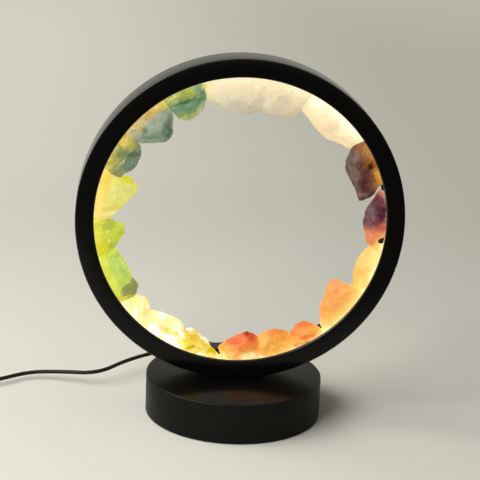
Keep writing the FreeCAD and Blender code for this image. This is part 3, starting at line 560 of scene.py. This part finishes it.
stones = {
    "milky_quartz": ((255, 244, 208), (245, 222, 176), (208, 192, 158), 40, 0.82, 0.2, [
        (64.1, 230.0, 6.5, 6.5, 0, (226, 202, 164), 0.85, 0.2),
        (78.3, 239.2, 8.9, 3.8, -50, (255, 248, 222), 0.9, 0.2),
        (84.0, 224.3, 4.4, 3.0, 0, (255, 246, 206), 0.8, 0.3),
        (42.3, 247.8, 3.0, 2.3, 0, (240, 215, 150), 0.7, 0.3),
    ]),
    "clear_quartz": ((255, 238, 192), (234, 215, 178), (190, 182, 158), 60, 0.72, 0.3, [
        (17.1, 249.2, 5.2, 2.0, 65, (212, 209, 186), 0.8, 0.1),
        (28.9, 250.2, 5.2, 4.5, 0, (210, 202, 174), 0.7, 0.2),
        (32.7, 240.1, 5.2, 2.3, 0, (214, 197, 152), 0.7, 0.3),
    ]),
    "cloudy_quartz": ((255, 240, 200), (236, 220, 182), (194, 188, 166), -15, 0.74, 0.25, [
        (-28.4, 261.2, 3.0, 3.0, 0, (255, 226, 150), 0.8, 0.3),
        (-22.4, 247.0, 4.4, 2.3, -20, (186, 190, 148), 0.8, 0.3),
        (-4.4, 246.8, 8.1, 3.0, -10, (196, 186, 164), 0.8, 0.2),
        (-30.8, 260.3, 1.8, 3.0, 0, (200, 200, 116), 0.9, 0.3),
    ]),
    "green_fluorite": ((176, 176, 76), (108, 144, 106), (150, 166, 105), 20, 0.76, 1.2, [
        (-43.6, 244.6, 8.1, 3.8, 20, (112, 146, 112), 0.9, 0.3),
        (-42.5, 255.4, 5.9, 2.7, 25, (168, 178, 70), 0.9, 0.3),
        (-35.9, 258.2, 3.0, 3.4, 0, (120, 160, 125), 0.9, 0.4),
        (-54.5, 250.4, 3.7, 0.8, 30, (228, 218, 95), 0.9, 0.5),
        (-45.3, 248.1, 9.6, 1.3, 21, (78, 106, 80), 0.9, 0.4),
        (-33.0, 255.6, 3.4, 1.0, 34, (120, 134, 96), 0.8, 0.3),
        (-40.9, 236.3, 8.9, 2.7, 14, (172, 180, 112), 0.9, 0.3),
        (-32.4, 242.7, 5.9, 2.3, 65, (184, 190, 150), 0.8, 0.3),
        (-46.1, 239.5, 3.4, 0.8, 5, (176, 148, 88), 0.6, 0.3),
        (-31.4, 260.9, 3.0, 0.8, 85, (212, 206, 118), 0.8, 0.3),
    ]),
    "grey_fluorite": ((232, 190, 80), (152, 168, 144), (112, 134, 108), 35, 0.7, 1.3, [
        (-59.0, 246.7, 3.7, 3.4, 0, (228, 212, 74), 0.9, 0.2),
        (-67.7, 240.5, 8.9, 2.4, 36, (210, 174, 76), 0.9, 0.2),
        (-76.4, 233.5, 5.2, 2.3, 42, (205, 180, 130), 0.8, 0.2),
        (-57.0, 227.9, 8.9, 3.8, 82, (98, 114, 92), 0.9, 0.3),
        (-63.2, 235.3, 4.4, 3.8, 0, (166, 178, 160), 0.8, 0.2),
        (-68.9, 229.1, 3.7, 4.5, 0, (160, 174, 152), 0.7, 0.2),
        (-74.4, 226.0, 2.6, 2.3, 0, (98, 124, 104), 0.8, 0.2),
        (-81.4, 225.0, 3.0, 2.7, 0, (168, 172, 146), 0.8, 0.3),
        (-66.5, 220.1, 7.4, 2.0, 0, (114, 140, 110), 0.7, 0.3),
    ]),
    "olive_fluorite": ((205, 180, 70), (130, 145, 105), (80, 122, 105), 50, 0.7, 1.2, [
        (-88.9, 216.9, 3.4, 3.2, 0, (248, 208, 92), 0.9, 0.2),
        (-83.8, 215.4, 4.4, 3.8, 0, (192, 186, 86), 0.8, 0.3),
        (-91.3, 208.5, 4.4, 3.0, 0, (120, 140, 95), 0.8, 0.3),
        (-85.1, 202.1, 8.1, 4.7, 50, (106, 130, 104), 0.95, 0.6),
        (-82.1, 207.8, 4.4, 2.3, -10, (90, 108, 80), 0.9, 0.3),
        (-90.9, 201.2, 5.9, 0.5, 50, (206, 204, 134), 0.95, 0.4),
        (-92.7, 193.1, 3.4, 2.3, 35, (146, 142, 94), 0.9, 0.4),
        (-100.2, 198.7, 3.0, 3.8, 0, (186, 178, 78), 0.9, 0.3),
    ]),
    "lime_calcite": ((250, 215, 90), (232, 222, 120), (226, 220, 104), -40, 0.76, 0.6, [
        (-101.6, 189.4, 3.4, 3.8, 0, (252, 206, 72), 0.9, 0.2),
        (-103.4, 194.3, 3.0, 2.3, 30, (244, 218, 118), 0.9, 0.3),
        (-85.8, 189.2, 8.0, 5.0, -32, (224, 216, 62), 0.95, 0.6),
        (-92.4, 177.3, 5.6, 6.1, 0, (226, 222, 132), 0.8, 0.2),
        (-84.8, 179.0, 3.0, 3.4, 0, (214, 211, 132), 0.8, 0.2),
        (-87.1, 171.5, 6.7, 1.8, 48, (236, 232, 122), 0.9, 0.3),
        (-99.3, 161.6, 6.7, 1.8, 8, (252, 238, 158), 0.9, 0.3),
    ]),
    "lime_prehnite": ((222, 212, 58), (188, 198, 68), (204, 212, 72), 0, 0.76, 0.7, [
        (-99.9, 152.5, 5.2, 3.8, 0, (170, 184, 66), 0.8, 0.2),
        (-88.4, 151.1, 3.7, 3.8, 0, (196, 210, 74), 0.9, 0.3),
        (-92.0, 141.4, 3.7, 3.4, 0, (206, 220, 62), 0.9, 0.3),
        (-104.1, 134.0, 5.2, 4.5, 60, (214, 206, 44), 0.9, 0.2),
        (-100.6, 148.2, 0.6, 1.2, 0, (228, 230, 124), 0.95, 0.5),
        (-98.6, 140.9, 1.5, 0.8, -60, (240, 238, 132), 0.95, 0.5),
    ]),
    "green_calcite": ((198, 200, 46), (188, 214, 92), (172, 204, 96), -60, 0.76, 0.7, [
        (-94.2, 131.8, 5.2, 3.8, 35, (218, 234, 92), 0.9, 0.2),
        (-90.9, 118.8, 6.7, 4.5, -52, (182, 208, 106), 0.85, 0.1),
        (-84.9, 117.6, 9.6, 2.1, -58, (206, 228, 98), 0.9, 0.3),
        (-100.0, 113.8, 11.1, 3.4, -62, (204, 210, 60), 0.9, 0.2),
        (-81.6, 101.0, 8.8, 6.4, 47, (150, 150, 84), 0.97, 0.7),
        (-77.8, 104.9, 2.2, 3.0, 0, (152, 138, 92), 0.8, 0.2),
        (-88.1, 94.6, 5.9, 1.4, 15, (236, 208, 46), 0.9, 0.3),
        (-85.4, 91.4, 7.0, 1.7, 12, (253, 238, 158), 0.97, 0.4),
    ]),
    "pale_calcite": ((255, 238, 162), (252, 228, 138), (246, 226, 138), 88, 0.85, 0.7, [
        (-77.7, 82.0, 1.6, 4.5, 0, (255, 246, 212), 0.9, 0.2),
        (-86.1, 91.9, 2.5, 1.7, 20, (255, 250, 216), 0.9, 0.2),
        (-73.3, 88.3, 1.0, 6.8, 0, (255, 247, 198), 0.8, 0.2),
        (-81.7, 87.9, 1.2, 6.1, 0, (240, 208, 100), 0.9, 0.2),
        (-66.7, 86.2, 3.0, 2.6, 0, (255, 253, 234), 0.95, 0.5),
        (-70.6, 77.1, 2.2, 4.5, 0, (250, 226, 150), 0.8, 0.2),
    ]),
    "clear_citrine": ((255, 240, 176), (250, 232, 156), (255, 246, 200), -40, 0.88, 1.3, [
        (-55.2, 71.2, 7.4, 1.8, -38, (232, 206, 100), 0.95, 0.3),
        (-46.8, 66.8, 2.7, 2.0, 0, (244, 216, 120), 0.9, 0.3),
        (-58.8, 74.8, 5.2, 1.5, -35, (246, 222, 168), 0.9, 0.2),
        (-62.1, 68.5, 4.8, 2.7, -40, (255, 255, 252), 0.9, 0.05),
        (-50.8, 62.4, 4.4, 2.6, -42, (255, 255, 252), 0.9, 0.05),
        (-57.1, 79.8, 2.7, 2.3, 0, (255, 255, 250), 0.9, 0.05),
        (-66.7, 86.4, 3.0, 2.4, 0, (255, 255, 252), 1, 0.7),
        (-42.8, 67.3, 5.9, 2.0, -68, (255, 253, 236), 0.9, 0.3),
        (-43.3, 58.3, 3.0, 0.9, -60, (214, 196, 84), 0.8, 0.3),
        (-67.7, 77.6, 3.7, 0.9, -50, (244, 222, 120), 0.8, 0.3),
        (-58.8, 61.4, 1.5, 0.9, 0, (255, 255, 255), 1, 0.3),
        (-44.8, 57.4, 2.2, 1.1, -30, (255, 255, 246), 1, 0.3),
        (-49.0, 71.3, 3.0, 1.1, -30, (252, 240, 196), 0.9, 0.3),
    ]),
    "golden_citrine": ((250, 226, 110), (234, 200, 62), (252, 244, 170), -50, 0.75, 1.1, [
        (-35.6, 69.5, 4.4, 2.7, 0, (255, 254, 228), 0.95, 0.3),
        (-35.9, 58.8, 4.7, 3.5, 0, (240, 204, 66), 0.95, 0.3),
        (-35.8, 55.4, 3.3, 1.4, 10, (214, 170, 10), 0.95, 0.3),
        (-25.4, 62.7, 7.4, 2.0, -48, (252, 248, 212), 0.95, 0.3),
        (-19.6, 51.5, 3.0, 2.3, 0, (224, 170, 0), 0.95, 0.3),
        (-25.5, 50.7, 1.5, 2.3, 0, (252, 238, 164), 0.9, 0.3),
        (-31.6, 56.0, 4.4, 0.8, -20, (196, 160, 8), 0.9, 0.4),
        (-25.4, 57.7, 3.7, 0.7, -50, (216, 190, 60), 0.9, 0.4),
        (-16.7, 50.4, 3.7, 1.3, -45, (206, 176, 10), 0.95, 0.4),
        (-28.3, 51.0, 1.5, 1.2, 0, (255, 250, 206), 0.95, 0.4),
        (-23.6, 47.8, 2.2, 1.1, 0, (255, 252, 220), 0.95, 0.4),
        (-41.1, 63.2, 2.2, 1.8, 0, (255, 252, 214), 0.9, 0.3),
    ]),
    "red_carnelian": ((255, 190, 96), (255, 140, 62), (222, 80, 40), 20, 0.6, 1.0, [
        (5.9, 67.0, 6.6, 3.0, -8, (188, 50, 2), 0.97, 0.3),
        (12.8, 63.5, 3.7, 3.3, -30, (230, 84, 50), 0.9, 0.3),
        (0.1, 60.0, 6.7, 2.7, 20, (246, 108, 48), 0.9, 0.2),
        (-9.9, 53.3, 5.6, 3.8, 20, (255, 170, 66), 0.9, 0.2),
        (10.0, 49.0, 5.9, 2.6, 0, (255, 234, 154), 0.95, 0.2),
    ]),
    "orange_carnelian": ((252, 184, 80), (255, 170, 72), (250, 140, 60), 70, 0.62, 0.7, [
        (31.3, 68.5, 7.4, 3.3, 10, (250, 142, 66), 0.95, 0.7),
        (24.7, 59.6, 5.9, 4.5, 0, (255, 184, 84), 0.8, 0.2),
        (17.0, 48.1, 5.2, 2.4, 0, (255, 252, 222), 0.95, 0.2),
        (28.5, 51.6, 8.1, 2.8, 8, (246, 164, 58), 0.95, 0.2),
    ]),
    "streaked_carnelian": ((255, 188, 84), (250, 138, 56), (248, 128, 52), 28, 0.6, 1.0, [
        (54.2, 74.4, 6.7, 3.0, 5, (244, 116, 40), 0.9, 0.3),
        (55.2, 65.3, 7.4, 1.7, 25, (240, 112, 42), 0.9, 0.3),
        (45.7, 61.9, 3.3, 2.4, 0, (255, 176, 74), 0.9, 0.3),
        (52.5, 58.5, 9.6, 2.2, 22, (206, 96, 4), 0.97, 0.2),
    ]),
    "orange_calcite": ((255, 208, 106), (255, 172, 82), (250, 156, 86), 75, 0.64, 0.7, [
        (75.1, 109.8, 4.0, 4.5, 0, (246, 150, 92), 0.9, 0.3),
        (74.6, 97.9, 6.7, 3.5, 75, (252, 150, 76), 0.9, 0.2),
        (86.1, 86.3, 9.6, 2.7, 48, (255, 222, 126), 0.9, 0.2),
        (69.4, 76.7, 4.4, 3.8, 0, (255, 184, 104), 0.9, 0.2),
        (84.3, 105.1, 3.7, 3.0, -30, (255, 186, 96), 0.8, 0.2),
    ]),
    "peach_calcite": ((255, 216, 118), (255, 196, 96), (250, 186, 94), 80, 0.62, 0.5, [
        (92.7, 124.6, 3.3, 4.5, 0, (255, 197, 104), 0.8, 0.2),
        (96.6, 127.9, 0.9, 6.1, 0, (255, 210, 118), 0.8, 0.2),
        (104.8, 119.2, 8.1, 2.4, 65, (255, 234, 150), 0.9, 0.2),
        (105.3, 138.5, 4.0, 4.0, 0, (246, 180, 84), 0.9, 0.2),
    ]),
    "amethyst": ((124, 56, 54), (86, 46, 60), (98, 72, 78), 60, 0.7, 0.9, [
        (100.2, 167.8, 3.6, 6.0, 0, (98, 76, 76), 0.8, 0.0),
        (106.8, 167.0, 4.2, 6.0, 0, (44, 0, 20), 0.95, 0.1),
        (107.4, 181.8, 4.2, 3.0, 40, (182, 104, 80), 0.9, 0.0),
        (109.4, 174.4, 3.0, 3.8, 0, (78, 12, 30), 0.95, 0.1),
        (103.0, 140.0, 14.0, 14.0, 0, (232, 140, 94), 0.95, 0.35),
        (107.0, 147.5, 5.5, 3.6, 20, (240, 152, 84), 0.8, 0.1),
        (108.4, 156.0, 4.2, 2.6, 10, (196, 92, 74), 0.85, 0.0),
    ]),
    "smoky_amethyst": ((215, 130, 45), (110, 68, 60), (116, 96, 84), -70, 0.44, 1.0, [
        (81.6, 201.9, 3.7, 10.6, 8, (116, 98, 82), 0.9, 0.2),
        (87.2, 209.7, 4.4, 4.5, 0, (152, 110, 84), 0.8, 0.2),
        (85.2, 197.0, 2.7, 6.1, 12, (152, 118, 112), 0.7, 0.2),
        (92.8, 216.2, 3.3, 2.6, 0, (186, 128, 62), 0.8, 0.2),
        (90.1, 220.5, 2.2, 3.3, 0, (166, 86, 50), 0.9, 0.3),
        (93.6, 193.6, 7.4, 3.3, 80, (104, 54, 54), 0.9, 0.2),
        (96.4, 203.4, 2.0, 3.6, -20, (56, 4, 2), 0.95, 0.3),
        (92.9, 185.3, 3.4, 2.0, 0, (92, 40, 46), 0.9, 0.2),
        (92.1, 179.5, 4.0, 2.3, 0, (160, 114, 112), 0.9, 0.2),
        (99.4, 203.0, 4.9, 1.7, -68, (166, 80, 20), 0.9, 0.2),
        (102.6, 194.9, 6.7, 2.7, -66, (242, 166, 50), 0.97, 0.3),
    ]),
}
fine_flakes, broad_flakes = (0.0042, 0.0011), (0.0065, 0.0008)
for seed, (name, look) in enumerate(stones.items()):
    flakes = fine_flakes if "citrine" in name else broad_flakes
    add_piece(name + "_stone", rough_stone(name, seed, *flakes), crystal(name, *look), [name])


# The base is a spun steel cup in the same satin black, with a rolled top edge, held down to a steel plate
# that carries an iron weight. Its top has a darker, warmer base colour than its side: painted shade.
base_foot = Vector((0.0, 0.0, 0.0))
base_top, base_edge, cup_inside, bolt_hole = 0.0318, 0.0685, 0.0663, 0.00415
cup_foot, under_top = 0.0008, 0.0292
base_paint = Finish("base_paint", Specular_IOR_Level=0.03, Coat_Roughness=0.2)
_, _, base_z = base_paint.axes()
# Painted shade: the top of the cup is given a darker, warmer base colour than its side.
top_shade_mask = base_z.step(0.0306, 0.0317)
base_paint.set({"Roughness": 0.32 + 0.12 * base_paint.noise(70.0) + 0.05 * base_paint.noise(900.0),
                "Base Color": base_paint.mix(top_shade_mask, (0.0075, 0.007, 0.0058), (0.0022, 0.0015, 0.001)),
                "Coat Weight": 0.1 + 0.2 * top_shade_mask})
base_paint.relief(base_paint.noise(2600.0, 1.0) + 0.5 * base_paint.noise(500.0), 0.00004)
base_cup = turned("base_cup", [
    (base_top, bolt_hole, 0), (base_top, base_edge, 0.0011), (cup_foot, base_edge, 0.0004),
    (cup_foot, cup_inside, 0.0003), (under_top, cup_inside, 0), (under_top, bolt_hole, 0),
], base_foot, upward, 192)
add_piece("base_cup", base_cup, base_paint, ["base_shell"])

# What holds ring and base together, and what lies under the base: plated steel fittings, a rubber pad under
# the ring, a cast iron weight, and a foam foot.
rubber = Finish("seat_pad", Base_Color=(0.02, 0.02, 0.02), Roughness=0.8)
rubber.relief(rubber.noise(1500.0), 0.00006)
repaint("ring_seat_pad", rubber)
foam = Finish("foot_rubber", Roughness=0.9)
foam.set({"Base Color": foam.mix(foam.cells(1500.0).step(0.2, 0.7), (0.015, 0.015, 0.015),
                                 (0.05, 0.05, 0.05))})
foam.relief(foam.cells(1500.0), 0.0003)
repaint("foot_pad", foam)


def plated(name, colour, roughness, grain):
    """Zinc-plated or turned steel, with the streaks of its making."""
    finish = Finish(name, Metallic=1.0)
    streaks = finish.noise(grain, 5.0)
    finish.set({"Roughness": roughness + 0.2 * streaks,
                "Base Color": finish.mix(streaks, colour, tuple(0.7 * part for part in colour))})
    finish.relief(streaks, 0.00004)
    return finish


for name, finish in (
    ("ring_saddle", plated("saddle_steel", (0.5, 0.5, 0.48), 0.3, 700.0)),
    ("ring_bolt", plated("bolt_steel", (0.55, 0.54, 0.5), 0.25, 900.0)),
    ("bolt_washer", plated("washer_steel", (0.52, 0.52, 0.5), 0.3, 800.0)),
    ("bolt_nut", plated("nut_steel", (0.5, 0.48, 0.4), 0.28, 900.0)),
    ("base_weight", plated("weight_iron", (0.12, 0.11, 0.1), 0.6, 250.0)),
    ("base_bottom_plate", plated("plate_steel", (0.1, 0.1, 0.1), 0.5, 300.0)),
    ("bottom_plate_screws", plated("screw_steel", (0.45, 0.45, 0.45), 0.3, 1200.0)),
):
    repaint(name, finish)

# The boot where the cord leaves the base is moulded rubber, ribbed so that it bends evenly, with a collar
# inside and outside the wall.
exit_level = Vector((0.0, 0.0, 0.016))
boot_rubber = Finish("relief_rubber", Base_Color=(0.014, 0.014, 0.014), Roughness=0.55)
boot_rubber.relief(boot_rubber.noise(1800.0), 0.00005)
boot_bore, boot_neck, collar = 0.0017, 0.0031, 0.0048
boot_loop = [(0.0648, boot_bore, 0), (0.0648, collar, 0.0003), (0.0661, collar, 0.0002),
             (0.0661, boot_neck, 0), (0.0686, boot_neck, 0), (0.0686, collar, 0.0003),
             (0.0699, collar, 0.0004)]
ribs = 5
rib_height = 0.0006
boot_start, boot_end = 0.0702, 0.0829
rib_pitch = (boot_end - boot_start) / ribs
for count in range(ribs):
    start = boot_start + count * rib_pitch
    rib = 0.0038 - 0.0003 * count
    boot_loop += [(start, rib - rib_height, 0), (start + 0.3 * rib_pitch, rib - rib_height, 0),
                  (start + 0.45 * rib_pitch, rib, 0.00015), (start + 0.95 * rib_pitch, rib, 0.00015)]
boot_loop.append((boot_end, boot_bore, 0))
boot = add_piece("cord_boot", turned("cord_boot", boot_loop, exit_level, backward, 48), boot_rubber,
                 ["strain_relief"])
repaint("inner_lead", cord_black)
wires = Finish("wire_red_black", Roughness=0.4)
_, wire_y, _ = wires.axes()
wires.set({"Base Color": wires.mix(wire_y.step(-0.0001, 0.0001), (0.015, 0.015, 0.015), (0.35, 0.012, 0.01))})
wires.relief(wires.noise(2000.0), 0.00003)
repaint("strip_wires", wires)


# The switch on the cord is a two-part moulded case with a rocker that tips on its own pin. It is black like
# the cord, finely sparked, with a raised frame round the rocker, grip ridges, and collars on its cord ends.
def plain_shape(name):
    """A node's own shape, without the edges that part one flat face."""
    shape = own_shape(name)
    bmesh.ops.dissolve_limit(shape, angle_limit=math.radians(2), verts=shape.verts[:], edges=shape.edges[:])
    return shape


def add_box(shape, middle, size):
    """A box in a shape, in millimetres; returns its corners."""
    place = Matrix.Translation(Vector(middle) / 1000) @ Matrix.Diagonal((*(Vector(size) / 1000), 1.0))
    return bmesh.ops.create_cube(shape, size=1.0, matrix=place)["verts"]


def softened(name, rounding, ridges=(), collars=()):
    """A copy of a node's own shape with its sharp edges rounded, and with moulded ridges, each (middle,
    size), and collars round its ends, each (middle, radius, width along the cord), in millimetres."""
    shape = plain_shape(name)
    sharp = [edge for edge in shape.edges if edge.calc_face_angle(0) > math.radians(28)]
    round_off(shape, sharp, rounding, 3, clamp_overlap=True)
    for middle, size in ridges:
        edges = list({edge for corner in add_box(shape, middle, size) for edge in corner.link_edges})
        round_off(shape, edges, min(size) * 0.0003, 2)
    for middle, radius, width in collars:
        place = Matrix.Translation(Vector(middle) / 1000) @ Matrix.Rotation(math.pi / 2, 4, "Y")
        corners = bmesh.ops.create_cone(shape, cap_ends=True, segments=32, radius1=radius / 1000,
                                        radius2=radius / 1000, depth=width / 1000, matrix=place)["verts"]
        rims = list({edge for corner in corners for edge in corner.link_edges
                     if abs(edge.verts[0].co.x - edge.verts[1].co.x) < 1e-6})
        round_off(shape, rims, width * 0.00025, 2)
    mesh = to_mesh(shape, name + "_softened")
    smooth_by_angle(mesh)
    return mesh


switch_x, switch_y = -234.0, 43.0
cord_height, case_top = 5.0, 12.0
frame_bars = [((switch_x, switch_y + side * 4.75, case_top), (19.0, 1.0, 0.7)) for side in (-1, 1)]
frame_bars += [((switch_x + side * 9.0, switch_y, case_top), (1.0, 8.6, 0.64)) for side in (-1, 1)]
grip_bars = [((switch_x + side * (11.6 + 1.7 * count), switch_y, case_top), (0.8, 9.0 - 1.1 * count, 0.7))
             for side in (-1, 1) for count in range(4)]
switch_collars = [((switch_x + side * (24.2 + 1.6 * count), switch_y, cord_height), 3.3 - 0.15 * count, 0.8)
                  for side in (-1, 1) for count in range(3)]
case_black = Finish("switch_shell", Base_Color=(0.016, 0.016, 0.016))
case_black.set({"Roughness": 0.44 + 0.15 * case_black.noise(300.0)})
case_black.relief(case_black.noise(2400.0, 1.0), 0.00006)
lower = add_piece("switch_case_lower", softened("switch_lower", 0.0004), case_black, ["switch_lower"])
upper = add_piece("switch_case_upper",
                  softened("switch_upper", 0.0003, frame_bars + grip_bars, switch_collars), case_black,
                  ["switch_upper"])
rocker_black = Finish("rocker", Base_Color=(0.02, 0.02, 0.021))
rocker_black.set({"Roughness": 0.28 + 0.15 * rocker_black.noise(400.0)})
rocker_black.relief(rocker_black.noise(1500.0, 1.0), 0.00003)
rocker = add_piece("switch_rocker_cap", softened("switch_rocker", 0.0003), rocker_black, ["switch_rocker"],
                   "rocker")
repaint("switch_contacts", plated("contact_brass", (0.7, 0.5, 0.2), 0.25, 900.0))

# The plug is a moulded black body with grip ridges and a ribbed tail, round a bright folded steel shell with
# two sprung windows and a plastic tongue.
plug_x, plug_y, plug_level = -236.0, -40.0, 3.9
plug_ridges = [((plug_x + 13.0 + 2.0 * count, plug_y, 7.8), (0.9, 10.0, 0.7)) for count in range(6)]
plug_ridges += [((plug_x + 13.0 + 2.0 * count, plug_y + side * 7.7, plug_level), (0.9, 0.6, 3.4))
                for side in (-1, 1) for count in range(6)]
plug_collars = [((plug_x + 1.2 + 1.6 * count, plug_y, plug_level), 2.95 + 0.12 * count, 0.8)
                for count in range(4)]
plug_black = Finish("plug_black", Base_Color=(0.016, 0.016, 0.016))
plug_black.set({"Roughness": 0.4 + 0.15 * plug_black.noise(350.0)})
plug_black.relief(plug_black.noise(2200.0, 1.0), 0.00005)
plug = add_piece("plug_moulding", softened("plug_body", 0.0005, plug_ridges, plug_collars), plug_black,
                 ["plug_body"])


def windowed(mesh, windows):
    """The shell with square windows cut through its upper wall: (middle, size) in millimetres."""
    shape = bmesh.new()
    for middle, size in windows:
        add_box(shape, middle, size)
    cutter = add_object("window_holes", to_mesh(shape, "window_holes"))
    open_shell = modified(mesh, "BOOLEAN", operation="DIFFERENCE", object=cutter)
    bpy.data.objects.remove(cutter)
    smooth_by_angle(open_shell)
    return open_shell


shell_windows = [((plug_x + 38.0, plug_y + side * 2.6, plug_level + 1.8), (2.3, 2.0, 1.6))
                 for side in (-1, 1)]
shell_steel = plated("plug_steel", (0.62, 0.62, 0.6), 0.22, 1200.0)
shell = add_piece("plug_sleeve", windowed(softened("plug_shell", 0.0001), shell_windows), shell_steel,
                  ["plug_shell"])
insulator = Finish("plug_insulator", Base_Color=(0.8, 0.8, 0.78), Roughness=0.4)
insulator.relief(insulator.noise(1500.0), 0.00003)
repaint("plug_tongue", insulator)


# The coil is held by a short woven strap, bent over it.
def bent_strap(name, bends):
    """A copy of a strap's own shape with its bends rounded: (test on an edge's middle, radius)."""
    shape = plain_shape(name)
    for is_bend, radius in bends:
        chosen = [edge for edge in shape.edges if abs(edge.verts[0].co.y - edge.verts[1].co.y) > 0.004
                  and is_bend((edge.verts[0].co + edge.verts[1].co) / 2)]
        round_off(shape, chosen, radius, 6)
    mesh = to_mesh(shape, name + "_bent")
    smooth_by_angle(mesh)
    return mesh


strap_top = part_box("coil_tie")[1][2]
outer_bends = (lambda spot: spot.z > strap_top - 0.0002, 0.0025)
inner_bends = (lambda spot: strap_top - 0.0014 < spot.z < strap_top - 0.0004, 0.0017)
tie_black = Finish("tie_black", Roughness=0.7)
tie_weave = tie_black.cells(1400.0)
tie_black.set({"Base Color": tie_black.mix(tie_weave.step(0.1, 0.7), (0.03, 0.03, 0.03),
                                           (0.012, 0.012, 0.012))})
tie_black.relief(tie_weave, 0.0002)
tie = add_piece("coil_strap", bent_strap("coil_tie", (outer_bends, inner_bends)), tie_black, ["coil_tie"])

# The set: a plain pale floor, wide enough to be the background from every side, lit by a wide soft box on the
# left and a weaker one overhead. Far from the lamp it shows an emitted tone, with painted shade that makes it
# darker to the right, and painted shade dims what mirrors in the paint from the front right.
floor_pale = Finish("floor_pale", Roughness=0.75, Specular_IOR_Level=0.1, Emission_Strength=1.0)
across, depth, _ = floor_pale.axes()
camera_ray, glossy_ray, clear_ray = (floor_pale.node("LightPath", output=f"Is {kind} Ray")
                                     for kind in ("Camera", "Glossy", "Transmission"))
away = (across * across + depth * depth) ** 0.5
own_tone_from, horizon_from = (0.3, 0.85), (1.5, 4.0)
distant = (camera_ray + glossy_ray + clear_ray) * away.step(*own_tone_from)
# Painted shade: mirror rays see the floor in front and to the right darkened.
dim_front = 1 - 0.85 * glossy_ray * (depth - 0.6 * across).step(-0.2, -0.5)
# Painted shade: the far floor's tone is lighter on the left and darker to the right, as the light falls off.
far_left, far_right, horizon = shade(209, 206, 194), shade(173, 171, 157), shade(192, 190, 178)
far_tone = floor_pale.mix(across.step(-0.3, 0.42), far_left, far_right)
far_tone = floor_pale.mix(away.step(*horizon_from), far_tone, horizon)
floor_tone = (0.79, 0.77, 0.683)
floor_pale.set({"Base Color": floor_pale.mix((1 - distant) * dim_front, (0.0, 0.0, 0.0), floor_tone),
                "Emission Color": floor_pale.scaled(far_tone, distant * dim_front)})
floor_radius = 30.0
ground = bmesh.new()
bmesh.ops.create_circle(ground, cap_ends=True, segments=64, radius=floor_radius)
floor = add_object("set_floor", to_mesh(ground, "set_floor"))
floor.data.materials.append(floor_pale.material)


def soft_light(name, wide, high, power, place, target):
    """A soft box that faces a target."""
    light = bpy.data.lights.new(name, "AREA")
    light.shape = "RECTANGLE"
    light.size = wide
    light.size_y = high
    light.energy = power
    place = Vector(place)
    towards = (Vector(target) - place).to_track_quat("-Z", "Y").to_matrix().to_4x4()
    add_object(name, light).matrix_world = Matrix.Translation(place) @ towards


soft_light("key_left", 2.4, 0.8, 33.5, (-1.05, -0.35, 1.12), (0.0, 0.0, 0.1))
soft_light("fill_overhead", 1.6, 1.6, 4.0, (0.2, -0.2, 2.0), (0.0, 0.0, 0.0))
world = bpy.context.scene.world or bpy.data.worlds.new("world")
bpy.context.scene.world = world
world.use_nodes = True
sky = world.node_tree
background = sky.nodes["Background"].inputs
background["Color"].default_value = (0.82, 0.8, 0.7, 1.0)
rays = sky.nodes.new("ShaderNodeLightPath").outputs
strength = sky.nodes.new("ShaderNodeMapRange")
first_sum, whole_sum = (sky.nodes.new("ShaderNodeMath") for count in range(2))
strength.inputs["To Min"].default_value = 0.12  # as light on the scene
strength.inputs["To Max"].default_value = 0.63  # as it is seen or mirrored
for output, socket in (
    (rays["Is Camera Ray"], first_sum.inputs[0]), (rays["Is Glossy Ray"], first_sum.inputs[1]),
    (first_sum.outputs[0], whole_sum.inputs[0]), (rays["Is Transmission Ray"], whole_sum.inputs[1]),
    (whole_sum.outputs[0], strength.inputs["Value"]), (strength.outputs[0], background["Strength"]),
):
    sky.links.new(output, socket)
bpy.context.scene.view_settings.view_transform = "Standard"
